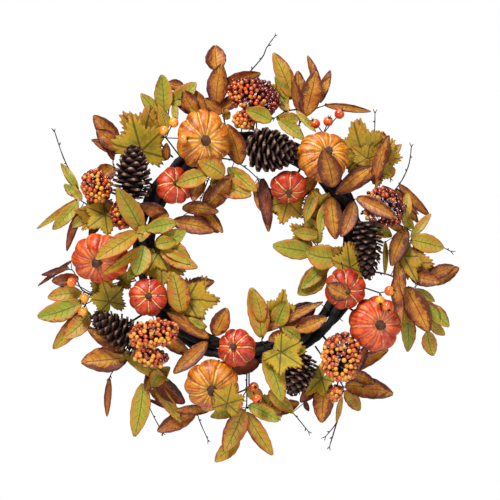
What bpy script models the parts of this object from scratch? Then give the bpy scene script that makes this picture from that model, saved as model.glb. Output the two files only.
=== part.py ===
"""Harvest door wreath: a twisted vine ring dressed with pumpkins, pinecones, berries, hips and leaf sprays.

Frame: the origin is where the hook on the door carries the hanging loop, +Z is up, the door is towards +Y
and the decorations face -Y. Places round the ring are given as (at, out, lift):
  at    degrees clockwise from the top, as seen from the front
  out   millimetres outwards from the centre line of the vine ring (negative is inwards)
  lift  millimetres in front of the front face of the vine ring (negative is behind it)
"""
import math
from dataclasses import dataclass

import bmesh
import bpy
from mathutils import Matrix, Vector
from mathutils.bvhtree import BVHTree

# ---- driving dimensions, in metres ----
MM = 0.001
CLEARANCE = 0.0003            # left between neighbouring pieces
RING_RADIUS = 0.153           # centre line of the vine ring
VINE_COUNT = 4
VINE_RADIUS = 0.0072          # one vine
VINE_GAP = 0.0007             # between neighbouring vines
VINE_TWISTS = 3               # turns of each vine round the others, over the whole ring
BINDING_RADIUS = 0.0009       # dark wire that binds the vines
LOOP_WIRE_RADIUS = 0.0011     # hanging loop
LOOP_HEIGHT = 0.046           # from the sleeve's axis to the top of the loop's centre line
LOOP_WIDTH = 0.022            # between the centre lines of its two sides
SLEEVE_LENGTH = 0.011         # sleeve that the loop turns in
SLEEVE_WALL = 0.0010
SLEEVE_PLAY = 0.0004          # radial, round the loop's wire
PICK_RADIUS = 0.0016          # wire that carries a pumpkin, a cone or a cluster
SEAT_GAP = 0.0010             # between a seated piece and the front of the ring
PUMPKIN_SQUASH = 0.78         # thickness along the stem, as a share of the width
BERRY_CLUSTER_DEPTH = 0.015   # half of a berry cluster's thickness
HIP_RADIUS = 0.0072
STALK_RADIUS = 0.0009         # twigs that carry the hips
STEM_RADIUS = 0.0013          # leaf spray stems
LEAF_THICKNESS = 0.0011
LEAF_FOLD = 0.16              # rise of a leaf's edges over its midrib, as a share of its width
STALK_HALF_WIDTH = 0.0009     # half the width of a leaf where it leaves its stem
ROOT_SHARE = 0.14             # share of a leaf's length, from its foot, where it may meet its spray's other leaves
ROOT_DEPTH = 0.4              # how far a stalk is sunk past its stem's centre line, as a share of the stem's radius
STEM_TAPER = 0.85             # radius of a stem's far end, as a share of STEM_RADIUS
ROOT_STEP = 0.03              # how much less each later leaf's stalk is sunk than the one before, as the same share
LAST_ROOT = 0.92              # how far along a stretch of stem a stalk may start
SHORT_LEAF = 0.040            # leaves shorter than this have one cross-section fewer

# ---- what follows from them ----
VINE_RING = (VINE_RADIUS + VINE_GAP) / math.sin(math.pi / VINE_COUNT)   # vines' centres round the bundle's
BUNDLE_RADIUS = VINE_RING + VINE_RADIUS
SLEEVE_BORE = LOOP_WIRE_RADIUS + SLEEVE_PLAY
SLEEVE_RADIUS = SLEEVE_BORE + SLEEVE_WALL
WRAP_RADIUS = BUNDLE_RADIUS + CLEARANCE + BINDING_RADIUS               # centre line of a wire wrap
SLEEVE_STANDOFF = WRAP_RADIUS + BINDING_RADIUS + SLEEVE_BORE           # sleeve's axis behind the bundle's
RING_DEPTH = SLEEVE_STANDOFF                                           # bundle's centre line in front of the loop
RING_FRONT = RING_DEPTH + BUNDLE_RADIUS
LOOP_AXIS_Z = -(LOOP_HEIGHT - LOOP_WIRE_RADIUS)                        # the hook is at z = 0
RING_HEIGHT = LOOP_AXIS_Z - RING_RADIUS                                # z of the ring's centre

COLOURS = {
    "vine": (0.012, 0.011, 0.014, 0.85, 0.0),
    "wire": (0.015, 0.013, 0.012, 0.45, 0.6),
    "pumpkin_red": (0.62, 0.10, 0.02, 0.5, 0.0),
    "pumpkin_gold": (0.60, 0.25, 0.05, 0.55, 0.0),
    "pumpkin_orange": (0.66, 0.16, 0.03, 0.5, 0.0),
    "pumpkin_stem": (0.06, 0.03, 0.02, 0.8, 0.0),
    "cone": (0.035, 0.018, 0.012, 0.75, 0.0),
    "berry": (0.50, 0.17, 0.05, 0.3, 0.0),
    "hip": (0.72, 0.24, 0.04, 0.3, 0.0),
    "leaf_green": (0.24, 0.26, 0.03, 0.6, 0.0),
    "leaf_orange": (0.42, 0.15, 0.03, 0.6, 0.0),
}


@dataclass(frozen=True)
class Pumpkin:
    """A moulded foam pumpkin: lean is how far its stem end leans sideways and upwards."""

    at: float
    out: float
    width: float
    lean: tuple
    colour: str
    lift: float = 0.0
    tall: float = 1.0
    lobes: int = 8


@dataclass(frozen=True)
class Cone:
    """A pinecone: heading is where its tip points, clockwise from up, and nod is how far it tips forward."""

    at: float
    out: float
    length: float
    width: float
    heading: float
    nod: float
    lift: float = 0.0


@dataclass(frozen=True)
class Spray:
    """A branch of leaves.

    stems: rows of (at, out, lift); the first row starts on the vine ring, the others on a row before.
    leaves: rows of (leaf, at, out, heading, length, width, lift of its foot, lift of its tip).
    """

    stems: tuple
    leaves: tuple


PUMPKINS = {
    "01": Pumpkin(337, 15, 78, (0.20, -0.08), "pumpkin_gold", 0, 1.12, 10),
    "02": Pumpkin(39, 15, 78, (0.30, 0.32), "pumpkin_gold", 0, 0.96, 10),
    "03": Pumpkin(310, -14, 55, (0.22, 0.22), "pumpkin_red"),
    "04": Pumpkin(33, -49, 53, (0.05, -0.75), "pumpkin_red", 4),
    "05": Pumpkin(266, 61, 84, (-0.16, -0.32), "pumpkin_orange", -10, 0.86, 9),
    "06": Pumpkin(244, 8, 56, (0.08, 0.14), "pumpkin_red"),
    "07": Pumpkin(187, -9, 56, (-0.34, 0.14), "pumpkin_red", 10),
    "08": Pumpkin(195, 51, 79, (0.0, -0.30), "pumpkin_gold", -14, 0.98, 9),
    "09": Pumpkin(113, -4, 60, (0.12, -0.18), "pumpkin_red", 16),
    "10": Pumpkin(121, 58, 78, (0.32, -0.06), "pumpkin_orange", -8, 1.03, 10),
}
CONES = {
    "01": Cone(303, 46, 80, 58, 4, 8, -12),
    "02": Cone(14, -10, 72, 66, 98, 25),
    "03": Cone(91, 18, 88, 46, 180, -8),
    "04": Cone(238, 71, 90, 54, 302, 0, -30),
    "05": Cone(159, 42, 64, 52, 200, 10, -20),
}
# Each cluster is one or two lobes: (at, out, half width, half height, tilt, lift of its middle).
BERRY_CLUSTERS = {
    "01": ((2, 66, 41, 28, 20, 6), (358, 32, 18, 16, 0, 8)),
    "02": ((292, 84, 23, 26, 330, 4), (284, 38, 15, 22, 340, 8)),
    "03": ((228, 30, 38, 22, 350, 42), (222, 57, 26, 15, 10, 36)),
    "04": ((140, 52, 31, 38, 0, 38), (149, 90, 9, 14, 20, 24)),
    "05": ((73, 50, 34, 30, 30, 10),),
}
# Each sprig: where its stalks part, then its three hips, all as (at, out, lift).
HIP_SPRIGS = {
    "01": ((323, 43, 54), (324, 54, 46), (329, 56, 40), (329, 28, 70)),
    "02": ((33, 44, -12), (32, 62, 6), (34, 80, 2), (28, 50, 0)),
    "03": ((254, 84, -10), (259, 108, -4), (253, 96, 0), (249, 104, 2)),
    "04": ((109, 44, 43), (107, 56, 50), (112, 48, 58), (113, 60, 60)),
    "05": ((180, 46, -10), (178, 47, 12), (184, 70, 44), (177, 64, 20)),
}
SPRAYS = {
    "leaf_spray_outer_01": Spray(
        stems=(
            ((22, 42, -12), (19, 59, -12), (16, 73, -10)),
            ((19, 59, -12), (15, 51, -4), (11, 37, 10)),
            ((22, 42, -12), (25, 67, -14), (28, 81, -16)),
            ((25, 67, -14), (25, 88, -16)),
        ),
        leaves=(
            ("green", 16, 73, 337, 65, 22, -10, -6),
            ("green", 16, 71, 323, 38, 14, -10, 0),
            ("orange", 21, 56, 346, 47, 13, -12, 4),
            ("orange", 23, 55, 14, 61, 26, -12, -2),
            ("orange", 24, 96, 342, 50, 11, -16, -20),
            ("green", 16, 50, 337, 33, 13, -4, -20),
            ("green", 13, 37, 129, 43, 17, 4, 12),
            ("orange", 26, 81, 18, 46, 13, -16, -26),
            ("green", 10, 32, 293, 37, 20, 26, 30),
            ("orange", 28, 81, 98, 62, 10, -16, -14),
        ),
    ),
    "leaf_spray_outer_02": Spray(
        stems=(
            ((54, 47, -14), (57, 75, -10)),
            ((54, 47, -14), (50, 66, -16), (49, 86, -20), (43, 115, -24)),
            ((57, 75, -10), (64, 75, -18)),
        ),
        leaves=(
            ("maple", 51, 64, 348, 51, 49, -10, 2),
            ("maple", 53, 61, 307, 29, 29, -10, -4),
            ("orange", 58, 75, 359, 44, 22, -8, -10),
            ("green", 58, 77, 42, 35, 13, -10, -18),
            ("orange", 58, 63, 238, 64, 23, -4, 22),
            ("orange", 57, 72, 189, 34, 10, -8, 4),
        ),
    ),
    "leaf_spray_outer_03": Spray(
        stems=(
            ((72, 40, -20), (68, 77, -20), (63, 106, -24), (58, 125, -28)),
            ((72, 40, -20), (79, 58, -20), (86, 97, -26), (91, 141, -32)),
            ((79, 58, -20), (83, 68, -18), (88, 78, -16), (95, 85, -18), (101, 94, -20)),
        ),
        leaves=(
            ("orange", 67, 83, 135, 60, 13, -20, -30),
            ("green", 71, 89, 187, 40, 14, -14, -4),
            ("green", 86, 82, 41, 41, 11, -14, -22),
            ("orange", 79, 50, 123, 29, 11, -12, -6),
            ("orange", 83, 76, 203, 54, 22, -10, 8),
            ("green", 87, 81, 104, 46, 23, -14, -14),
            ("green", 91, 81, 135, 53, 17, -16, -30),
            ("maple", 93, 71, 153, 42, 34, -10, -2),
            ("orange", 100, 84, 101, 41, 20, -16, -6),
            ("orange", 101, 122, 56, 40, 17, -30, -36),
            ("green", 104, 94, 121, 32, 11, -20, -26),
        ),
    ),
    "leaf_spray_outer_04": Spray(
        stems=(
            ((101, 56, -16), (104, 81, -18), (108, 104, -20), (114, 132, -24)),
            ((104, 81, -18), (112, 94, -20)),
        ),
        leaves=(
            ("orange", 102, 61, 173, 59, 14, -6, 44),
            ("orange", 104, 81, 153, 67, 29, -14, -6),
            ("green", 108, 113, 131, 45, 20, -20, -24),
            ("green", 112, 93, 178, 54, 19, -20, -26),
            ("green", 115, 133, 167, 34, 19, -24, -30),
            ("green", 112, 130, 133, 28, 13, -26, -34),
        ),
    ),
    "leaf_spray_outer_05": Spray(
        stems=(
            ((146, 63, -20), (146, 91, -22), (150, 107, -24), (153, 129, -28), (158, 143, -32)),
            ((146, 63, -20), (151, 74, -22)),
            ((153, 129, -28), (158, 159, -34)),
        ),
        leaves=(
            ("orange", 141, 76, 62, 61, 17, -24, -26),
            ("maroon", 144, 84, 32, 57, 17, -24, -14),
            ("orange", 145, 90, 100, 65, 26, -20, -14),
            ("green", 146, 99, 144, 31, 17, -22, -26),
            ("orange", 151, 73, 185, 51, 26, -18, -12),
            ("maple", 151, 63, 224, 33, 34, -14, -10),
        ),
    ),
    "leaf_spray_outer_06": Spray(
        stems=(
            ((181, 51, -14), (181, 77, -14), (183, 120, -18)),
            ((181, 51, -14), (190, 71, -24), (196, 92, -24), (197, 101, -24), (192, 133, -32)),
            ((181, 77, -14), (175, 83, -16), (167, 84, -22), (162, 128, -32)),
        ),
        leaves=(
            ("green", 180, 74, 118, 45, 20, -8, 0),
            ("maple", 173, 78, 85, 31, 37, -14, -4),
            ("green", 183, 77, 251, 43, 16, -16, -24),
            ("green", 182, 80, 204, 62, 27, -12, 0),
            ("green", 183, 123, 225, 45, 19, -18, -26),
            ("green", 181, 85, 148, 67, 20, -14, -10),
            ("orange", 198, 98, 244, 57, 22, -24, -28),
            ("orange", 194, 90, 271, 45, 13, -18, -8),
            ("maroon", 199, 103, 289, 65, 7, -26, -36),
        ),
    ),
    "leaf_spray_outer_07": Spray(
        stems=(
            ((226, 60, -22), (220, 78, -22), (217, 88, -22), (213, 116, -28), (205, 144, -34)),
            ((226, 60, -22), (228, 83, -22), (228, 110, -26), (227, 125, -28)),
        ),
        leaves=(
            ("orange", 228, 84, 264, 62, 32, -18, -14),
            ("orange", 229, 80, 304, 66, 11, -22, -28),
            ("orange", 227, 124, 184, 52, 9, -28, -30),
            ("green", 227, 84, 121, 43, 10, -16, -10),
            ("green", 216, 86, 51, 31, 17, -22, -14),
            ("green", 218, 96, 189, 72, 24, -20, -14),
            ("green", 216, 86, 145, 67, 16, -22, -18),
        ),
    ),
    "leaf_spray_outer_08": Spray(
        stems=(
            ((255, 51, -22), (252, 76, -22), (251, 98, -20)),
            ((252, 76, -22), (256, 97, -24), (263, 106, -26), (262, 132, -32)),
        ),
        leaves=(
            ("green", 255, 98, 262, 46, 20, -20, -18),
            ("green", 252, 102, 252, 62, 26, -18, -16),
            ("green", 249, 105, 219, 64, 20, -20, -26),
            ("green", 248, 96, 225, 49, 23, -18, -10),
            ("maroon", 260, 98, 264, 36, 17, -24, -18),
            ("maroon", 266, 105, 233, 57, 6, -26, -32),
            ("maple", 253, 64, 13, 24, 43, -8, 4),
            ("maple", 256, 37, 73, 20, 29, -12, -6),
        ),
    ),
    "leaf_spray_outer_09": Spray(
        stems=(
            ((284, 55, -22), (285, 87, -22), (286, 104, -20)),
            ((286, 104, -20), (289, 109, -22), (296, 147, -30), (301, 177, -34)),
        ),
        leaves=(
            ("green", 289, 109, 326, 42, 11, -22, -28),
            ("maple", 283, 74, 343, 25, 49, -16, -8),
            ("green", 286, 105, 234, 68, 9, -20, -26),
            ("green", 285, 103, 223, 50, 17, -18, -14),
            ("maroon", 283, 98, 198, 59, 11, -20, -24),
            ("maple", 281, 76, 225, 25, 26, -18, -18),
        ),
    ),
    "leaf_spray_outer_10": Spray(
        stems=(
            ((320, 45, -18), (325, 56, -18), (331, 84, -20), (335, 97, -22)),
            ((320, 45, -18), (317, 71, -20), (310, 88, -24), (303, 82, -26), (301, 75, -26)),
        ),
        leaves=(
            ("green", 325, 56, 325, 59, 19, -16, -10),
            ("green", 328, 78, 356, 51, 23, -16, -8),
            ("green", 331, 86, 53, 46, 22, -18, -14),
            ("maple", 317, 71, 314, 45, 66, -16, -4),
            ("orange", 309, 90, 317, 50, 22, -24, -26),
            ("orange", 301, 76, 225, 33, 23, -24, -18),
        ),
    ),
    "leaf_spray_outer_11": Spray(
        stems=(
            ((349, 46, -16), (349, 78, -14), (350, 107, -16)),
            ((349, 63, -15), (354, 72, -22), (360, 101, -26), (4, 125, -30), (5, 139, -32), (7, 158, -36)),
            ((349, 46, -16), (343, 53, -16)),
        ),
        leaves=(
            ("orange", 347, 59, 8, 55, 26, -8, 0),
            ("orange", 350, 107, 354, 35, 26, -16, -22),
            ("orange", 350, 81, 69, 57, 20, -14, -10),
            ("orange", 349, 53, 64, 29, 17, -14, -6),
            ("orange", 342, 52, 294, 45, 17, -16, -14),
            ("orange", 343, 54, 321, 39, 17, -18, -22),
        ),
    ),
    "leaf_spray_inner_01": Spray(
        stems=(
            ((56, 2, 2), (61, 2, 3), (65, 10, 3)),
            ((61, 2, 3), (59, -18, 3), (59, -34, 0)),
        ),
        leaves=(
            ("orange", 54, -5, 345, 51, 29, 52, 78),
            ("orange", 58, -14, 174, 57, 24, 10, 16),
            ("orange", 66, 12, 200, 51, 20, 8, 22),
            ("orange", 65, 18, 118, 60, 19, 10, 34),
            ("maple", 59, -35, 337, 24, 37, 4, 12),
        ),
    ),
    "leaf_spray_inner_02": Spray(
        stems=(
            ((96, -33, -12), (92, -48, -10), (83, -62, -10)),
            ((96, -33, -12), (104, -39, -10)),
            ((96, -33, -12), (94, -22, 6)),
        ),
        leaves=(
            ("green", 86, -51, 332, 42, 19, -6, 4),
            ("maple", 80, -67, 307, 32, 40, -6, 2),
            ("green", 94, -60, 280, 55, 24, -6, 2),
            ("green", 105, -40, 226, 50, 29, -6, 6),
            ("green", 96, -24, 280, 44, 32, 12, 20),
            ("maple", 95, -13, 22, 22, 43, 8, 16),
        ),
    ),
    "leaf_spray_inner_03": Spray(
        stems=(
            ((170, -7, 2), (172, -20, 0), (166, -32, -6), (157, -33, -10)),
            ((170, -7, 2), (166, -4, 3)),
        ),
        leaves=(
            ("green", 172, -23, 348, 68, 26, 2, 6),
            ("maple", 157, -44, 11, 41, 37, -6, 2),
            ("green", 161, -32, 21, 38, 23, -4, 8),
            ("maroon", 155, -36, 63, 49, 29, -8, -6),
            ("orange", 157, -28, 76, 49, 14, -8, 4),
            ("green", 171, -2, 161, 70, 24, 12, 26),
            ("maroon", 175, 12, 252, 42, 22, 4, 2),
            ("green", 166, -7, 98, 43, 26, 10, 20),
            ("maple", 163, 3, 123, 37, 52, 6, 14),
        ),
    ),
    "leaf_spray_inner_04": Spray(
        stems=(
            ((225, -21, 2), (214, -15, 3), (203, -13, 3)),
            ((225, -21, 2), (233, -39, -2), (235, -47, -6)),
        ),
        leaves=(
            ("orange", 238, -46, 78, 38, 17, -4, 2),
            ("maple", 228, -42, 95, 38, 63, -2, 4),
            ("orange", 202, -18, 26, 40, 23, 6, 16),
            ("orange", 204, -11, 302, 66, 17, 6, 14),
            ("green", 208, -23, 299, 27, 10, 10, 18),
            ("green", 226, -19, 347, 56, 29, 6, 16),
            ("orange", 204, -5, 227, 61, 20, 10, 16),
        ),
    ),
    "leaf_spray_inner_05": Spray(
        stems=(
            ((284, -7, 2), (277, -7, 3), (271, -14, 3)),
            ((284, -7, 2), (288, -22, 0), (290, -39, -2)),
        ),
        leaves=(
            ("green", 279, 4, 332, 65, 26, 12, 26),
            ("orange", 291, -29, 295, 42, 19, 6, 12),
            ("green", 289, -42, 258, 42, 20, 14, 20),
            ("green", 272, -18, 66, 45, 22, 8, 14),
            ("green", 278, 8, 236, 66, 23, 40, 64),
            ("green", 271, -2, 235, 65, 14, 12, 22),
            ("green", 271, -2, 194, 40, 27, 22, 32),
            ("maple", 267, -22, 149, 29, 55, 0, 4),
            ("green", 269, -25, 116, 56, 20, 10, 16),
        ),
    ),
    "leaf_spray_inner_06": Spray(
        stems=(
            ((340, -15, 2), (336, -28, 3), (330, -37, 2), (322, -48, -2), (309, -58, -6)),
            ((340, -15, 2), (349, -24, 3), (358, -38, 3), (7, -52, 0)),
        ),
        leaves=(
            ("green", 330, -33, 253, 42, 22, 48, 58),
            ("orange", 326, -35, 204, 32, 17, 36, 44),
            ("orange", 313, -63, 44, 58, 20, 0, 14),
            ("green", 330, -42, 110, 58, 26, 8, 16),
            ("green", 347, -35, 132, 47, 19, 10, 20),
            ("orange", 8, -57, 174, 39, 17, 4, 12),
            ("orange", 10, -52, 172, 71, 16, 6, 8),
            ("orange", 310, -61, 139, 46, 14, -4, 0),
            ("orange", 303, -59, 129, 42, 17, -6, -10),
            ("orange", 354, -32, 342, 56, 26, 10, 22),
            ("orange", 12, -62, 144, 53, 20, -4, 0),
        ),
    ),
}


# The exact solver leaves slivers where many thin leaves of these sprays meet.
MANIFOLD_SPRAYS = ("leaf_spray_inner_01", "leaf_spray_inner_03", "leaf_spray_inner_04", "leaf_spray_outer_01",
                   "leaf_spray_outer_03", "leaf_spray_outer_08")


# ---- the scene and its pieces ----
def clear_scene():
    """Remove whatever the file holds."""
    for thing in list(bpy.data.objects):
        bpy.data.objects.remove(thing, do_unlink=True)


def finish(name):
    """The material of one kind of piece."""
    material = bpy.data.materials.get(name)
    if material is None:
        red, green, blue, roughness, metallic = COLOURS[name]
        material = bpy.data.materials.new(name)
        material.use_nodes = True
        shader = material.node_tree.nodes["Principled BSDF"]
        shader.inputs["Base Color"].default_value = (red, green, blue, 1.0)
        shader.inputs["Roughness"].default_value = roughness
        shader.inputs["Metallic"].default_value = metallic
        material.diffuse_color = (red, green, blue, 1.0)
    return material


def add_piece(name, shell, colour, sharp=40.0):
    """Make a named object of a bmesh, with its own copy of the colour's material."""
    mesh = bpy.data.meshes.new(name)
    shell.to_mesh(mesh)
    shell.free()
    mesh.shade_smooth()
    mesh.set_sharp_from_angle(angle=math.radians(sharp))
    piece = bpy.data.objects.new(name, mesh)
    own = finish(colour).copy()
    own.name = name + "_" + colour
    mesh.materials.append(own)
    bpy.context.scene.collection.objects.link(piece)
    return piece


def fuse(name, shells, colour, solver="EXACT"):
    """Join overlapping closed shells into one body, with the first as its object."""
    piece = add_piece(name, shells[0], colour)
    group = bpy.data.collections.new(name + "_cutters")
    bpy.context.scene.collection.children.link(group)
    for number, shell in enumerate(shells[1:]):
        mesh = bpy.data.meshes.new(f"{name}_helper_{number:02d}")
        shell.to_mesh(mesh)
        shell.free()
        helper = bpy.data.objects.new(mesh.name, mesh)
        helper.hide_render = True
        helper.display_type = "WIRE"
        group.objects.link(helper)
    if len(shells) > 1:
        union = piece.modifiers.new("join", "BOOLEAN")
        union.operation = "UNION"
        union.solver = solver
        union.operand_type = "COLLECTION"
        union.collection = group
    return piece


# ---- places round the ring ----
def spot(at, out, lift):
    """The point at degrees round the ring, out from its centre line and lift in front of its front face."""
    reach = RING_RADIUS + out * MM
    angle = math.radians(at)
    return Vector((reach * math.sin(angle), -RING_FRONT - lift * MM, RING_HEIGHT + reach * math.cos(angle)))


def ring_centre_near(point):
    """The nearest point to this one on the ring's centre line."""
    outwards = Vector((point.x, 0.0, point.z - RING_HEIGHT)).normalized()
    return Vector((0.0, -RING_DEPTH, RING_HEIGHT)) + outwards * RING_RADIUS


def wired_on(point):
    """Where a wire from this point reaches the vines."""
    centre = ring_centre_near(point)
    return centre + (point - centre).normalized() * (BUNDLE_RADIUS + CLEARANCE)


def compass(heading):
    """The direction in the wreath's own plane, clockwise from up as seen from the front."""
    angle = math.radians(heading)
    return Vector((math.sin(angle), 0.0, math.cos(angle)))


# ---- shells ----
def circle(centre, side, up, radius, count, turn=0.0):
    """Points round a circle in the plane of side and up."""
    points = []
    for k in range(count):
        angle = turn + 2.0 * math.pi * k / count
        points.append(centre + side * (radius * math.cos(angle)) + up * (radius * math.sin(angle)))
    return points


def skin(rings, loop=False):
    """Close rows of points, each a ring with as many points as the next, into one shell."""
    shell = bmesh.new()
    rows = [[shell.verts.new(point) for point in ring] for ring in rings]
    following = rows[1:] + (rows[:1] if loop else [])
    for lower, upper in zip(rows, following):
        for k, corner in enumerate(lower):
            n = (k + 1) % len(lower)
            shell.faces.new((corner, lower[n], upper[n], upper[k]))
    if not loop:
        shell.faces.new(list(reversed(rows[0])))
        shell.faces.new(rows[-1])
    bmesh.ops.recalc_face_normals(shell, faces=shell.faces)
    return shell


def across(direction):
    """Two unit vectors square to a direction."""
    guide = Vector((0.0, 1.0, 0.0)) if abs(direction.y) < 0.8 else Vector((1.0, 0.0, 0.0))
    side = direction.cross(guide).normalized()
    return side, side.cross(direction).normalized()


def tube(points, radius, sides=4, end_radius=None):
    """A closed tube along points, thinning to end_radius."""
    end_radius = radius if end_radius is None else end_radius
    rings = []
    for k, point in enumerate(points):
        before = points[max(k - 1, 0)]
        after = points[min(k + 1, len(points) - 1)]
        direction = (after - before).normalized()
        side, up = across(direction)
        share = k / (len(points) - 1)
        rings.append(circle(point, side, up, radius + (end_radius - radius) * share, sides, math.pi / sides))
    return skin(rings)


def turned(profile, middle, axis, sides, ripple=0.0):
    """Turn (radius, height) pairs about an axis; ripple draws in every other side."""
    side, up = across(axis)
    rings = []
    for radius, height in profile:
        centre = middle + axis * height
        ring = circle(centre, side, up, radius, sides)
        for k in range(1, sides, 2):
            ring[k] = centre + (ring[k] - centre) * (1.0 - ripple)
        rings.append(ring)
    return skin(rings)


def pick(body_middle):
    """The wire from a piece's middle to the vines."""
    return tube([body_middle, wired_on(body_middle)], PICK_RADIUS, 5)


# ---- the vine ring ----
def vine(number, segments=36, sides=6):
    """One of the vines, twisted round the ring's centre line and closed on itself."""
    rings = []
    back = Vector((0.0, 1.0, 0.0))
    for k in range(segments):
        round_ring = 2.0 * math.pi * k / segments
        outwards = Vector((math.sin(round_ring), 0.0, math.cos(round_ring)))
        twist = VINE_TWISTS * round_ring + 2.0 * math.pi * number / VINE_COUNT
        middle = Vector((0.0, -RING_DEPTH, RING_HEIGHT)) + outwards * RING_RADIUS
        middle += outwards * (VINE_RING * math.cos(twist)) + back * (VINE_RING * math.sin(twist))
        rings.append(circle(middle, outwards, back, VINE_RADIUS, sides, twist))
    return skin(rings, loop=True)


def wrap(at, segments=16, sides=4):
    """A wire ring round the bundle of vines."""
    outwards = compass(at)
    back = Vector((0.0, 1.0, 0.0))
    middle = Vector((0.0, -RING_DEPTH, RING_HEIGHT)) + outwards * RING_RADIUS
    along = outwards.cross(back)
    radius = WRAP_RADIUS / math.cos(math.pi / segments)
    rings = []
    for k in range(segments):
        angle = 2.0 * math.pi * k / segments
        spoke = outwards * math.cos(angle) + back * math.sin(angle)
        rings.append(circle(middle + spoke * radius, spoke, along, BINDING_RADIUS, sides))
    return skin(rings, loop=True)


def sleeve(segments=12):
    """The short tube behind the top of the ring that the hanging loop turns in."""
    half = SLEEVE_LENGTH / 2.0
    middle = Vector((0.0, 0.0, LOOP_AXIS_Z))
    side, up = Vector((0.0, 1.0, 0.0)), Vector((0.0, 0.0, 1.0))
    outline = ((SLEEVE_BORE / math.cos(math.pi / segments), -half), (SLEEVE_RADIUS, -half),
               (SLEEVE_RADIUS, half), (SLEEVE_BORE / math.cos(math.pi / segments), half))
    rings = []
    for radius, place in outline:
        rings.append(circle(middle + Vector((place, 0.0, 0.0)), side, up, radius, segments))
    return skin(rings, loop=True)


def hanging_loop(sides=6):
    """A closed wire: straight through the sleeve, then up both sides and round the top."""
    half = LOOP_WIDTH / 2.0
    corner = 0.25 * LOOP_WIDTH
    path = [Vector((-half + corner, 0.0, 0.0)), Vector((half - corner, 0.0, 0.0))]
    for degrees in (-60, -30, 0):
        angle = math.radians(degrees)
        path.append(Vector((half - corner + corner * math.cos(angle), 0.0, corner + corner * math.sin(angle))))
    top = LOOP_HEIGHT - half
    for degrees in range(0, 181, 20):
        angle = math.radians(degrees)
        path.append(Vector((half * math.cos(angle), 0.0, top + half * math.sin(angle))))
    for degrees in (180, 210, 240):
        angle = math.radians(degrees)
        path.append(Vector((-half + corner + corner * math.cos(angle), 0.0, corner + corner * math.sin(angle))))
    rings = []
    back = Vector((0.0, 1.0, 0.0))
    for k, point in enumerate(path):
        direction = (path[(k + 1) % len(path)] - path[k - 1]).normalized()
        inwards = direction.cross(back).normalized()
        rings.append(circle(point, inwards, back, LOOP_WIRE_RADIUS, sides))
    return skin(rings, loop=True)


def build_ring():
    """The vines, the wires that bind them, and the hanger at the back of the top."""
    for number in range(VINE_COUNT):
        add_piece(f"vine_{number + 1}", vine(number), "vine")
    for name, at in (("binding_wire_left", 251), ("binding_wire_right", 128)):
        add_piece(name, wrap(at), "wire")
    fuse("hanger_eye", [wrap(0, 16, 6), sleeve()], "wire")
    loop = add_piece("hanging_loop", hanging_loop(), "wire")
    loop.location = (0.0, 0.0, LOOP_AXIS_Z)


# ---- pumpkins ----
PUMPKIN_PROFILE = ((0.22, -0.82), (0.76, -0.84), (1.0, -0.06), (0.78, 0.82), (0.20, 0.76))
STEM_PROFILE = ((0.15, 0.0), (0.10, 0.16), (0.13, 0.36))


def pumpkin_axis(pumpkin):
    """The direction of a pumpkin's stem: forward, with its lean."""
    return Vector((pumpkin.lean[0], -1.0, pumpkin.lean[1])).normalized()


def pumpkin_middle(pumpkin):
    """The middle of a pumpkin seated on the front of the ring."""
    half = pumpkin.width * MM / 2.0
    axis = pumpkin_axis(pumpkin)
    slope = math.sqrt(max(0.0, 1.0 - axis.y ** 2))
    half_depth = math.hypot(half * PUMPKIN_SQUASH * axis.y, half * slope)
    return spot(pumpkin.at, pumpkin.out, pumpkin.lift + (half_depth + SEAT_GAP) / MM)


def build_pumpkin(label, pumpkin):
    """A lobed body on its pick, and its stem."""
    half = pumpkin.width * MM / 2.0
    axis = pumpkin_axis(pumpkin)
    middle = pumpkin_middle(pumpkin)
    profile = [(radius * half, height * half * PUMPKIN_SQUASH) for radius, height in PUMPKIN_PROFILE]
    body = turned(profile, middle, axis, 2 * pumpkin.lobes, 0.09)
    stretch = Matrix.Diagonal((1.0, 1.0, pumpkin.tall, 1.0))
    centred = Matrix.Translation(middle) @ stretch @ Matrix.Translation(-middle)
    bmesh.ops.transform(body, matrix=centred, verts=body.verts)
    fuse(f"pumpkin_{label}", [body, pick(middle)], pumpkin.colour)
    foot = centred @ (middle + axis * (PUMPKIN_PROFILE[-1][1] * half * PUMPKIN_SQUASH))
    out_of_body = (centred.to_3x3().inverted().transposed() @ axis).normalized()
    foot += out_of_body * CLEARANCE
    rows = [(radius * half, height * half) for radius, height in STEM_PROFILE]
    add_piece(f"pumpkin_stem_{label}", turned(rows, foot, out_of_body, 6), "pumpkin_stem")


# ---- pinecones, berries and hips ----
CONE_TIERS = ((0.20, -0.50), (0.62, -0.46), (0.98, -0.34), (0.80, -0.26), (1.0, -0.12), (0.78, -0.03),
              (0.88, 0.12), (0.62, 0.20), (0.66, 0.33), (0.34, 0.40), (0.16, 0.50))


def build_cone(label, cone):
    """A stepped body with the outline of the cone's scales, on its pick."""
    nod = math.radians(cone.nod)
    axis = (compass(cone.heading) * math.cos(nod) + Vector((0.0, -1.0, 0.0)) * math.sin(nod)).normalized()
    half = cone.width * MM / 2.0
    end = abs(axis.y) * cone.length * MM * 0.25
    middle = spot(cone.at, cone.out, cone.lift + (half + end + SEAT_GAP) / MM)
    profile = [(radius * half, height * cone.length * MM) for radius, height in CONE_TIERS]
    fuse(f"pinecone_{label}", [turned(profile, middle, axis, 10), pick(middle)], "cone")


BERRY_PROFILE = ((0.30, -0.96), (0.86, -0.52), (1.0, 0.10), (0.70, 0.74), (0.24, 0.98))


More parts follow.
